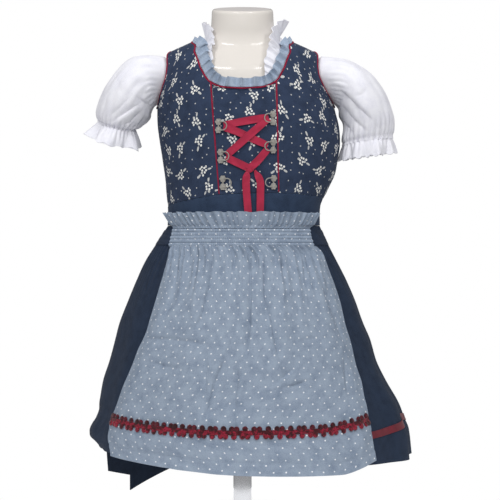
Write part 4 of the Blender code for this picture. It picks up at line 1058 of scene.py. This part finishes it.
# %% Skirt surface
# Height, then its size to the left, right, front and back
SKIRT = (
    (88, 184, 203, 152, 155),
    (118, 182, 200, 150, 153),
    (131, 178, 195, 149, 152),
    (148, 173, 189, 147, 150),
    (178, 168, 172, 142, 145),
    (201, 161, 161, 138, 139),
    (227, 154, 154, 131, 132),
    (245, 149, 147, 126, 126),
    (272, 138, 138, 117, 116),
    (296, 128, 127, 108, 106),
    (320, 117, 114, 98, 94),
    (343, 102.5, 102, 87, 81),
    (363, 89.5, 92.5, 77.5, 70.5),
)
SKIRT_WAVES = ((88, 6), (148, 4.5), (200, 3.2), (272, 1.8), (330, 0.6), (363, 0))
SKIRT_WAVE_COUNT, SKIRT_CALM, TIE_CALM_MIDDLE, TIE_CALM_REACH = 12, (50, 74), -133, (26, 40)
# Height on the flat cloth, height once folded, how far it then stands out
FOLD = (
    (88, 107, -6),
    (108, 113, 2),
    (117, 119, 2.5),
    (129, 127, 1),
    (137, 134, -1.5),
    (147, 142, -2),
    (163, 155, 0),
    (180, 180, 0),
    (363, 363, 0),
)
FOLD_MIDDLE, FOLD_REACH = -84, 32


def skirt(angle, height):
    """The skirt's outer face; height is measured on the flat cloth, before the fold."""
    angle = wrapped(angle)
    folded = 0.5 + 0.5 * np.cos(np.pi * np.minimum(np.abs(angle - FOLD_MIDDLE) / FOLD_REACH, 1))
    fold = smooth(FOLD, height)
    calm = fade(np.abs(angle), *SKIRT_CALM) * fade(np.abs(wrapped(angle - TIE_CALM_MIDDLE)), *TIE_CALM_REACH)
    wave = curve(SKIRT_WAVES, height) * calm * (1 - folded)
    turn = np.radians(angle)
    out = wave * np.sin(SKIRT_WAVE_COUNT * turn + 0.8 * np.sin(3 * turn)) + folded * fold[..., 1]
    level = height + np.where(height < FOLD[-1][0], folded * (fold[..., 0] - height), 0)
    sizes = split(SKIRT, level)
    return around(*(size + out for size in sizes), angle, level)


def hips(angle, height):
    """The outer face of the dress where the waistband meets the skirt."""
    share = fade(height, 358, 368)[..., None]
    return (1 - share) * skirt(angle, height) + share * off(draped, angle, height, BODICE_OUT)


# %% Skirt cloth
SKIRT_COLUMNS, LOWER_ROWS, UPPER_ROWS = 400, 44, 53
SKIRT_HEM, SKIRT_MIDDLE, SKIRT_TOP, SKIRT_GATHERS = 88, 165, 363, 72
RIBBON_LOW, RIBBON_HIGH = 115, 123
HEM_RAISE, RIBBON_RAISE = (11, -54, 18), (15, 88, 30)


def skirt_cloth(angle, height, lift=0.0):
    """The skirt's outer face with its gathers and dents; its hem is raised at the left."""
    turn = np.radians(angle)
    gathers = 0.5 + 0.5 * np.sin(SKIRT_GATHERS * turn + 3 * np.sin(5 * turn) + 2 * np.sin(11 * turn))
    lift = lift - 1.5 * gathers * fade(height, 255, 360) * (0.5 + unevenness(angle / 5, height / 60, 3))
    lift = lift - 2.2 * unevenness(angle / 11, height / 70, 14) * fade(height, 330, 250)
    lift = lift - 0.8 * unevenness(angle / 4, height / 22, 15) * fade(height, 200, 120)
    raised, middle, reach = HEM_RAISE
    return off(skirt, angle, height + raised * bump_at(angle, middle, reach) * fade(height, 150, SKIRT_HEM), lift)


angle = np.linspace(-180, 180, SKIRT_COLUMNS, endpoint=False)[None, :]
lower = np.linspace(SKIRT_HEM, SKIRT_MIDDLE, LOWER_ROWS)
upper = np.linspace(SKIRT_MIDDLE, SKIRT_TOP, UPPER_ROWS)
height = np.concatenate((lower, upper[1:]))[:, None]
cloth("navy_skirt", skirt_cloth(angle, height), navy_cotton, ["skirt_front", "skirt_back"],
      thick=1.0, closed=True)
raised, middle, reach = RIBBON_RAISE
height = np.linspace(RIBBON_LOW, RIBBON_HIGH, 8)[:, None] + raised * bump_at(angle, middle, reach)
sunk = 3.4 * fade(np.abs(angle - FOLD_MIDDLE), 31, 27)
cloth("skirt_hem_ribbon", skirt_cloth(angle, height, 0.9 - sunk), hem_satin, ["skirt_ribbon"],
      thick=0.5, closed=True)

# %% [markdown]
# ## The apron
# It is one width of chambray gathered to the band at its top, so about twenty small
# pleats run down from there and open out. Its cut width is the width of its hem. The
# creases on it were ironed in or folded in, and are listed one by one.

# %% Apron skirt
# Height, angle of the left edge, angle of the right edge
APRON_EDGES = (
    (80, -53.5, 48),
    (94, -53.5, 48),
    (118, -56, 47),
    (138, -56.5, 47.6),
    (161, -55, 50),
    (187, -52, 53.5),
    (217, -49.5, 54),
    (245, -46, 54.3),
    (300, -46.5, 56.5),
    (325, -48.5, 58),
    (331, -50, 57),
    (337, -51, 54),
)
APRON_HEM = ((0, 97), (0.32, 87), (0.55, 81.5), (0.85, 80), (0.95, 88), (1, 93))
APRON_TOP, APRON_LIFT, APRON_WALL, RIBBON_ROOM = 336.7, 0.7, 1.2, 0.9
# Soft folds: share across, part of the way up, depth, half width, half length
APRON_FOLDS = (
    (0.27, 0.72, 3.5, 0.05, 0.3),
    (0.47, 0.8, 3, 0.04, 0.25),
    (0.62, 0.7, 3.5, 0.05, 0.35),
    (0.86, 0.75, 3, 0.05, 0.25),
    (0.4, 0.25, 2.5, 0.07, 0.25),
    (0.08, 0.4, 2, 0.06, 0.4),
    (0.93, 0.12, 3, 0.05, 0.12),
)
APRON_PLEATS, APRON_COLUMNS, APRON_ROWS = 24, 284, 172
# Creases: the points of a line as distance right of the middle and height, then how
# deep they are and how wide on their steep and their easy side
CREASES = (
    (((-33, 332), (-35.9, 294), (-44.4, 257.6), (-54, 238)), 4.5, 1.3, 6),
    (((2.9, 211), (6.5, 224.8), (9.4, 249), (9.4, 278), (9.4, 334)), 4.5, 1.3, 5),
    (((-6.5, 148), (-7, 165.5), (-4.9, 177.5), (-4.1, 199), (-2.8, 207.6)), 4.0, 1.3, 6),
    (((24, 330), (24.5, 300), (25.2, 278), (30.9, 260), (36.6, 226), (41.7, 206)), 4.2, 1.3, 6),
    (((-18.5, 214), (-23.6, 200.4), (-30, 184.7), (-40.7, 140.7)), 4.2, 1.3, 6),
    (((-84, 316), (-67, 331)), 3.5, 1.0, 4),
    (((87.8, 293), (106, 248), (112, 230)), 4.2, 2.0, 9),
    (((-36, 225), (-58.4, 229.5), (-81, 232), (-109, 230.6)), 1.9, 1.6, 5),
    (((-65.2, 199), (-86.5, 201.4), (-101.7, 206.4)), 1.9, 1.6, 5),
    (((38, 184.7), (45.3, 189.7), (58.9, 200.4)), 3.5, 1.0, 5),
    (((76.4, 186.8), (65.2, 184), (53.2, 180.4), (42.4, 178.2)), 3.1, 1.0, 5),
    (((-11.4, 299), (-6.7, 333)), 3.1, 1.3, 4),
    (((44.9, 294), (42.9, 330)), 3.5, 1.3, 4),
    (((-23.6, 224.8), (-16.4, 239.2)), 2.3, 1.3, 3),
    (((-25, 252.8), (-17, 258.5)), 2.3, 1.3, 3),
    (((18.8, 261.3), (27.3, 255.6)), 2.4, 1.3, 3),
    (((38.8, 270.6), (48.9, 263.4)), 2.3, 1.3, 4),
    (((85, 233), (64, 231.7)), 2.1, 1.2, 4),
    (((113, 207), (117, 168)), 3.1, 1.4, 6),
    (((-39.5, 140.7), (-38.2, 218.5)), 1.8, 2.0, 6),
    (((-70, 322), (-78, 276), (-92, 240)), 2.4, 1.2, 7),
    (((66, 326), (71, 290)), 3.1, 1.0, 5),
)


def apron_lift(share, part):
    """How far the apron's outer face stands off the skirt."""
    lift = APRON_LIFT + APRON_WALL + RIBBON_ROOM * (1 - fade(part, 0.18, 0.3))
    for middle, level, deep, half_wide, half_long in APRON_FOLDS:
        lift = lift + deep * bump_at(share, middle, half_wide) * bump_at(part, level, half_long)
    draws = np.random.default_rng(4).random((APRON_PLEATS, 4))
    for k, (jitter, reach, deep, way) in enumerate(draws):
        middle = (k + 0.5 + 0.8 * (jitter - 0.5)) / APRON_PLEATS
        down = fade(part, 0.9 - 0.4 * reach**2, 0.97) * (1 - 0.5 * fade(part, 0.975, 1))
        sway = 0.05 * (way - 0.5) * (1 - part)
        wide = 0.007 + 0.03 * (1 - part)
        lift = lift + (1.8 + 2.4 * deep) * bump_at(share, middle + sway, wide) * down
    lift = lift + 1.1 * np.sin(np.pi * 2 * share * 37 + 5 * unevenness(share * 30, 1.5, 12)) * fade(part, 0.9, 0.98)
    lift = lift + 3.2 * fade(share, 0, 0.06) * fade(share, 1, 0.94) * fade(part, 0.02, 0.1)
    low_part = 1 - fade(part, 0.1, 0.3)
    lift = lift + 2.2 * low_part * unevenness(share * 16, part * 26 + 2 * share, 6) ** 2
    return lift + 2.0 * unevenness(share * 7, part * 6, 7) * (1 - part)


def apron_place(share, part):
    """Angle and height at a share of the way across and a part of the way up."""
    hem = curve(APRON_HEM, share)
    height = hem + (APRON_TOP - hem) * part
    return between(smooth(APRON_EDGES, height), share), height


share, part = np.meshgrid(np.linspace(0, 1, APRON_COLUMNS), np.linspace(0, 1, APRON_ROWS))
angle, height = apron_place(share, part)
lift = apron_lift(share, part)
flat = skirt(angle, height)
for points, deep, steep, easy in CREASES:
    lift = lift + crease(flat[..., 0], flat[..., 2], points, deep, steep, easy)
lift = lift - 0.9 * bump_at(part, 0.055, 0.006) * (0.5 + 0.5 * unevenness(share * 60, 0.5, 8))
lift = np.maximum(lift, APRON_WALL)
cloth("apron_cloth", off(skirt, angle, height, lift), chambray, ["apron_skirt"],
      thick=0.9)

# %% [markdown]
# Above the pleats the apron is drawn in by rows of elastic thread, with a puff of cloth
# between each two rows. The cloth above the top row stands free as a small frill.

# %% Shirred band and heading
# Ends of the band and its heading: height, left angle, right angle
BAND_ENDS = ((337, -52.5, 51.5), (358, -60, 55), (363, -66, 62), (378, -76, 69))
SHIRR_BOTTOM, SHIRR_TOP, SHIRR_ROWS = 337, 358, 5
GATHER_COLUMNS, PUFF_ROWS, HEADING_ROWS = 372, 60, 22
HEADING_TALL, HEADING_LEAN, HEADING_WAVES = 20, 11, 27
across = np.linspace(0, 1, GATHER_COLUMNS)[None, :]
share = np.linspace(0, 1, PUFF_ROWS)[:, None]
height = SHIRR_BOTTOM + (SHIRR_TOP - SHIRR_BOTTOM) * share
angle = between(smooth(BAND_ENDS, height), across)
puff = np.abs(np.sin(np.pi * SHIRR_ROWS * share)) ** 0.5
ripple = np.sin(angle * 4.6 + 3 * unevenness(angle / 2.2, share * 3.4, 17) + 2.5 * np.floor(share * SHIRR_ROWS * 0.999))
lift = APRON_LIFT + 0.9 + 1.7 * puff * (0.85 + 0.3 * ripple) + 0.5 * (unevenness(angle / 3, share * 7, 18) - 0.5)
cloth("shirred_band", off(hips, angle, height, lift), chambray, ["apron_band"])
share = np.linspace(0, 1, HEADING_ROWS)[:, None]
phase = across * 2 * np.pi * HEADING_WAVES
phase = phase + 2.2 * np.sin(phase / 6.3) + 2.5 * unevenness(across * 28, 0.5, 19)
lean = np.radians(HEADING_LEAN)
tall = HEADING_TALL * (1 + 0.03 * np.sin(phase / 2) + 0.05 * (unevenness(across * 20, 0.3, 20) - 0.5))
rise = share * tall
height = SHIRR_TOP + 0.3 + rise * np.cos(lean)
angle = between(smooth(BAND_ENDS, height), across)
wave = 1.5 * share**0.6 * np.sin(phase) * (0.6 + 0.7 * unevenness(across * 24, 0.1, 22))
flare = 1.5 * share**2 * (fade(across, 0.12, 0) + 0.3 * fade(across, 0.9, 1))
lift = APRON_LIFT + 1.6 + rise * np.sin(lean) + wave + flare + 0.5 * np.sin(2.3 * phase) * (1 - share)
cloth("apron_frill_top", off(hips, angle, height, np.maximum(lift, 1.0)), chambray, ["apron_heading"])

# %% [markdown]
# A crocheted braid of small flowers is sewn across the apron above its hem. It is a
# cord with petals that point down and up by turns. One petal is modelled, as a round
# cushion, and copied along the line.

# %% Flower braid
BRAID_LINE = ((-59, 139), (-40, 133.5), (0, 129.4), (25, 130), (40, 135.5), (49.6, 141.6))
FLOWER_APART, PETAL_RADIUS, PETAL_FLAT, CORE_HALF = 12.6, 3.3, 5 / 12, 2.6
BRAID_RUN, BRAID_COLUMNS, BRAID_ROWS = (0.004, 0.996), 400, 9
# Petals of a flower, by turns: how far along the braid and how far above its line
PETAL_PLACES = (((0, -4.3), (-2.9, 3.9), (2.9, 3.9)), ((-2.9, -3.9), (2.9, -4.1), (0, 4.1)))


def braid_point(share, above, lift):
    """A place on the braid's line, measured up from it and out from the apron."""
    share, above, lift = np.broadcast_arrays(*(np.asarray(part, float) for part in (share, above, lift)))
    angle = 0 * share
    for _ in range(5):
        height = curve(BRAID_LINE, angle) + above
        angle = between(smooth(APRON_EDGES, height), share)
    hem = curve(APRON_HEM, share)
    base = apron_lift(share, (height - hem) / (APRON_TOP - hem)) + 0.3
    return off(skirt, angle, height, base + lift), outward(skirt, angle, height)


share = np.linspace(*BRAID_RUN, BRAID_COLUMNS)[None, :]
band = np.linspace(-1, 1, BRAID_ROWS)[:, None]
crown = 0.8 * (1 - band**2) + 0.25 * np.sin(share * 900) * (1 - band**2)
strip_points, _ = braid_point(share, band * CORE_HALF, 0.8 + crown)
cloth("braid_core", strip_points, bright_yarn, ["apron_braid"])
length = lengths(strip_points, 1)[BRAID_ROWS // 2, -1]
flowers = int(length / FLOWER_APART)


def petal(name, centre, normal):
    """A flattened ball of yarn lying on the cloth."""
    bpy.ops.object.select_all(action="DESELECT")
    bpy.ops.mesh.primitive_uv_sphere_add(segments=10, ring_count=6, radius=PETAL_RADIUS * MM)
    piece = bpy.context.object
    piece.name = name
    turn = Vector((0, 0, 1)).rotation_difference(Vector(normal)).to_matrix().to_4x4()
    piece.data.transform(Matrix.Diagonal((1, 1, PETAL_FLAT, 1)))
    piece.data.transform(Matrix.Translation(Vector(centre) * MM) @ turn)
    return piece


def join_as(name, parts):
    """Several small shapes as one piece."""
    bpy.ops.object.select_all(action="DESELECT")
    for piece in parts:
        piece.select_set(True)
    bpy.context.view_layer.objects.active = parts[0]
    bpy.ops.object.join()
    parts[0].name = parts[0].data.name = name
    return parts[0]


lower, upper = [], []
for k in range(flowers):
    for beside, above in PETAL_PLACES[k % 2]:
        centre, normal = braid_point((k + 0.5) / flowers + beside / length, above, 0.9)
        (lower if above < 0 else upper).append(petal(f"petal_{k}_{beside}", centre, normal))
settle(join_as("braid_lower_petals", lower), bright_yarn)
settle(join_as("braid_upper_petals", upper), dark_yarn)
print("flowers on the braid:", flowers)

# %% [markdown]
# ## The apron's ties
# They run round the waist to a knot at the left of the back and hang to below the hem,
# where their ends show under the apron. Each is one long strip of navy cotton.

# %% Ties
TIE_LOW, TIE_HIGH, KNOT_ANGLE, KNOT_HEIGHT = 340, 357.5, -140, 349
TIE_LIFT, TIE_ROOM, KNOT_REACH = 1.4, 2.2, 5.8
BELT_ROWS, BELT_COLUMNS, END_ROWS, END_COLUMNS = 30, (130, 260), 90, 22
# Height, angle of one edge, angle of the other
TIE_ENDS = {
    "tie_end_front": (
        (60, -131.5, -117.5), (88, -131, -116.5), (200, -133, -119), (300, -137, -126), (333, -139, -130)
    ),
    "tie_end_back": (
        (32, -153, -131), (88, -154, -131), (200, -151, -134.5), (300, -147, -137.8), (333, -146, -139.6)
    ),
}
TIE_END_SLANT = {"tie_end_front": -9, "tie_end_back": 27}
for node, side in (("tie_belt_left", 0), ("tie_belt_right", 1)):
    share = np.linspace(0, 1, BELT_ROWS)[:, None]
    height = TIE_LOW + (TIE_HIGH - TIE_LOW) * share
    band_end = smooth(BAND_ENDS, height)[..., side] + (side - 0.5)
    knot_end = KNOT_ANGLE + 360 * side + KNOT_REACH * (1 - 2 * side)
    start, end = (knot_end, band_end) if side == 0 else (band_end, knot_end)
    angle = start + (end - start) * np.linspace(0, 1, BELT_COLUMNS[side])[None, :]
    folds = 0.7 * np.abs(np.sin(np.pi * (2.5 * share + 0.6 * unevenness(angle / 24, share * 2, 30))))
    grid = off(hips, angle, height + 0 * angle, 0.25 + 0.4 * folds * fade(share, 0, 0.2))
    cloth(node.replace("tie_belt", "waist_tie"), grid, navy_cotton, [node])
for node, rows in TIE_ENDS.items():
    share = np.linspace(0, 1, END_ROWS)[:, None]
    level = rows[0][0] + (rows[-1][0] - rows[0][0]) * share
    across = np.linspace(0, 1, END_COLUMNS)[None, :]
    angle = between(smooth(rows, level), across)
    height = level + np.maximum(0, 1 - share * 4) * TIE_END_SLANT[node] * (1 - across)
    lift = TIE_LIFT + 1.0 + TIE_ROOM * (1 - fade(height, 124, 150))
    lift = lift + 1.2 * np.sin(across * np.pi * 2 + 2 * share) * fade(share, 0.1, 0.7) ** 0.5 * 0.6
    cloth(node.replace("tie_end", "hanging_tie"), off(skirt, angle, height, lift), navy_cotton, [node])

# %% [markdown]
# The knot is a short turn of the same strip, pulled tight over the two belts. A ball is
# shaped into it and creased where the strip folds under.

# %% Knot of the ties
KNOT_SIZE, KNOT_LIFT = (17, 12, 24), 2.6


def ball(name, centre, half, turn):
    """A round cushion with its three half sizes, turned about the upright."""
    bpy.ops.object.select_all(action="DESELECT")
    bpy.ops.mesh.primitive_uv_sphere_add(segments=48, ring_count=32, radius=MM)
    piece = bpy.context.object
    piece.name = piece.data.name = name
    points = np.empty(len(piece.data.vertices) * 3)
    piece.data.vertices.foreach_get("co", points)
    points = points.reshape(-1, 3) / MM
    round_turn = np.arctan2(points[:, 0], -points[:, 1])
    girth = np.sqrt(np.maximum(1 - points[:, 2] ** 2, 0))
    creased = 1 - 0.1 * np.abs(np.sin(round_turn * 2.5 + 2.0 * points[:, 2])) ** 3 * girth
    waist = 1 - 0.12 * bump_at(points[:, 2], 0.1, 0.35)
    points[:, :2] *= (creased * waist)[:, None]
    piece.data.vertices.foreach_set("co", (points * np.array(half) * MM).ravel())
    piece.data.transform(Matrix.Translation(Vector(centre) * MM) @ Matrix.Rotation(np.radians(turn), 4, "Z"))
    return piece


centre = off(hips, np.array(KNOT_ANGLE), np.array(KNOT_HEIGHT), np.array(KNOT_LIFT + KNOT_SIZE[1] / 2))
knot = ball("waist_knot", centre, np.array(KNOT_SIZE) / 2, KNOT_ANGLE)
settle(knot, navy_cotton, ["tie_knot"])

# %% [markdown]
# ## The lacing
# Three pairs of metal hooks are sewn beside the front seams. Each is two studs on one
# back plate with a wire loop towards the middle. A satin ribbon runs through the loops
# and is tied low at the middle, and its two ends hang down over the waistband.

# %% Hooks
# Distance right of the middle, height
HOOKS = {
    "hook_left_top": (-27.6, 477.5),
    "hook_left_middle": (-25, 443),
    "hook_left_bottom": (-22.4, 412),
    "hook_right_top": (35.7, 486.5),
    "hook_right_middle": (36, 454.5),
    "hook_right_bottom": (36.5, 413),
}
STUD_APART, STUD_LOBES, HOOK_LIFT = 9.4, 6, 0.7
STUD_PROFILE = (
    (0, 0), (3.5, 0), (3.8, 0.3), (3.8, 0.9), (3.5, 1.3),
    (2.9, 1.45), (2.5, 1.2), (1.9, 1.3), (1.2, 1.7), (0, 1.8),
)
LOOP_REACH, LOOP_WIDE, LOOP_WIRE, LOOP_LIFT = 10.2, 10, 0.65, 2.2
# The back plate: a small disc, and how far it is stretched along, up and out
PLATE_PROFILE, PLATE_STRETCH = ((0, 0.2), (2.4, 0.2), (2.4, 1.2), (0, 1.2)), (0.35, 2.2, 0.6, 1)


def stud(name, along):
    """A flat flower-shaped stud, pressed from sheet."""
    piece = turned(name, STUD_PROFILE, 48)
    for point in piece.data.vertices:
        petals = 1 + 0.09 * np.cos(STUD_LOBES * np.arctan2(point.co.y, point.co.x))
        point.co.x, point.co.y = point.co.x * petals, point.co.y * petals
    piece.data.transform(Matrix.Translation(Vector((0, along, 0)) * MM))
    return piece


for node, (distance, height) in HOOKS.items():
    studs = [stud(node + "_a", STUD_APART / 2), stud(node + "_b", -STUD_APART / 2)]
    bend = np.linspace(0, np.pi, 25)
    straight = LOOP_REACH - LOOP_WIDE / 2
    half = LOOP_WIDE / 2
    path = [(straight + half * np.sin(turn), -half * np.cos(turn), LOOP_LIFT) for turn in bend]
    path = [(1.5, -half, 1.2), (2.8, -half, LOOP_LIFT)] + path + [(2.8, half, LOOP_LIFT), (1.5, half, 1.2)]
    wire = tube(node + "_c", path, LOOP_WIRE, False)
    plate = turned(node + "_d", PLATE_PROFILE, 24)
    plate.data.transform(Matrix.Diagonal(PLATE_STRETCH))
    hook = join_as(node.replace("hook", "lace_hook"), studs + [wire, plate])
    angle = angle_at(distance, height)
    out = Vector(outward(draped, angle, height))
    across = Vector((0, 0, 1)).cross(out).normalized() * (-1 if distance > 0 else 1)
    turn = Matrix((across, out.cross(across), out)).transposed().to_4x4()
    place = off(draped, angle, height, BODICE_OUT + HOOK_LIFT)
    hook.data.transform(Matrix.Translation(Vector(place) * MM) @ turn)
    settle(hook, old_silver, [node], crisp=30)

# %% [markdown]
# The ribbon is 9 mm wide, less a little for its turned edges. It narrows into a soft
# fold where it runs through a loop and into the knot, and opens between them.

# %% Ribbon
LACE_WIDE = 8.6
# Points of each run: distance right of the middle, height, lift off the bodice
LACING = {
    "lacing_1": ((-21.5, 478.3, 0.3), (4, 483, 0.3), (30.5, 487.5, 0.3)),
    "lacing_2": ((-21.5, 475.8, 1.7), (-8, 471.5, 1.2), (10, 463.6, 0.3), (29.5, 455.5, 1.0)),
    "lacing_3": ((-18, 444.2, 0.4), (-10, 451, 0.6), (8, 466.5, 1.9), (30.5, 486, 1.6)),
    "lacing_4": ((-18.5, 441.6, 1.5), (-6, 435.5, 0.9), (9.5, 428.3, 0.4)),
    "lacing_5": ((6.5, 427.3, 1.2), (17, 436.5, 1.4), (29.8, 451.5, 0.8)),
    "lacing_tail_left": ((6.4, 427, 0.3), (4.4, 411.5, 2.0), (7.2, 372.5, 0.4)),
    "lacing_tail_right": ((14.6, 427, 0.3), (20.9, 410.5, 2.0), (20.5, 372.5, 0.4)),
}
for node, points in LACING.items():
    share = np.linspace(0, 1, 60)
    keys = np.linspace(0, 1, len(points))
    distance, height, lift = split([(key,) + row for key, row in zip(keys, points)], share)
    angle = np.array([float(angle_at(x, z)) for x, z in zip(distance, height)])
    middle = off(draped, angle, height, BODICE_OUT + lift + 0.9)
    normals = outward(draped, angle, height)
    side = np.cross(normals, np.gradient(middle, axis=0))
    side /= np.linalg.norm(side, axis=1, keepdims=True)
    tail = "tail" in node
    ends = bump_at(share, 0, 0.1) + bump_at(share, 1, 0.1)
    narrow = 1 - (0.7 * bump_at(share, 0, 0.16) if tail else 0.12 * ends)
    grid = []
    for u in np.linspace(-1, 1, 13):
        fold = 0.5 * (1 - narrow) * np.cos(np.pi * u) + 0.35 * np.sin(share * 9 + 2 * u)
        beside = side * (u * LACE_WIDE / 2 * narrow)[:, None]
        grid.append(middle + beside + normals * (0.5 * u * u + fold + 0.3)[:, None])
    cloth(node.replace("lacing", "ribbon"), np.array(grid), ribbon_satin, [node],
          thick=0.4)
LACE_KNOT_AT, LACE_KNOT_SIZE = (9, 427.6), (5.5, 4.4, 1.0)
angle = float(angle_at(*LACE_KNOT_AT))
wide, tall, deep = LACE_KNOT_SIZE
centre = off(draped, np.array(angle), np.array(LACE_KNOT_AT[1]), np.array(BODICE_OUT + 0.6 + deep))
bow = ball("ribbon_knot", centre, (wide - 1.5, deep + 0.5, tall - 0.6), angle)
settle(bow, ribbon_satin, ["lacing_knot"])

# %% [markdown]
# ## View, light and floor
# The camera stands level in front, as in the picture. The white room gives about half
# of the light evenly. Soft lamps at the left, the right, above and in front shape the
# folds, and two narrow ones put short gleams on the neck. Only those two are mirrored.

# %% Camera
bpy.ops.object.camera_add(location=(0.009, -2.2, 0.334), rotation=(np.pi / 2, 0, 0))
camera = bpy.context.object
camera.data.lens, camera.data.sensor_width = 132, 36
bpy.context.scene.camera = camera

# %% Light
ROOM_LIGHT = 0.42
# Name, place and size in metres, watts, whether polished surfaces mirror it
LAMPS = (
    ("key", (-0.8, -1.2, 1.5), (0.3, 0.3), 9, False),
    ("fill", (0.85, -1.2, 1.45), (0.3, 0.3), 7, False),
    ("top", (0.1, -0.6, 2.3), (1.1, 1.1), 2.5, False),
    ("front", (0.1, -1.5, 1.2), (0.7, 0.7), 5, False),
    ("left_gleam", (-0.5, -0.85, 2.1), (0.5, 0.1), 2.5, True),
    ("right_gleam", (0.5, -0.85, 2.1), (0.5, 0.1), 2, True),
    ("back", (0.4, 2.0, 1.4), (1.4, 1.4), 5, False),
)
for name, place, (wide, tall), power, mirrored in LAMPS:
    bpy.ops.object.light_add(type="AREA", location=place)
    lamp = bpy.context.object
    lamp.name, lamp.data.shape, lamp.data.energy = name, "RECTANGLE", power
    lamp.data.size, lamp.data.size_y = wide, tall
    lamp.rotation_euler = (Vector((0, 0, 0.35)) - Vector(place)).to_track_quat("-Z", "Y").to_euler()
    lamp.visible_glossy = mirrored
world = bpy.data.worlds.new("studio")
world.use_nodes = True
background = world.node_tree.nodes["Background"]
path = add(world.node_tree, "LightPath").outputs["Is Camera Ray"]
strength = add(world.node_tree, "MapRange", {"Value": path, "To Min": ROOM_LIGHT, "To Max": 1.0})
world.node_tree.links.new(strength.outputs["Result"], background.inputs["Strength"])
background.inputs["Color"].default_value = (1, 1, 1, 1)
bpy.context.scene.world = world
bpy.context.scene.view_settings.view_transform = "Standard"

# %% Floor
bpy.ops.object.select_all(action="DESELECT")
bpy.ops.mesh.primitive_circle_add(vertices=96, radius=0.38, fill_type="NGON")
floor = bpy.context.object
floor.name = floor.data.name = "studio_floor"
white_floor = smooth_finish(
    "pale_floor", "#d4d4d4", "#d0d0d0", (0.8, 0.9), 20.0, 0.01, Emission_Color=(1, 1, 1, 1), Emission_Strength=0.7
)
floor.data.materials.append(white_floor)
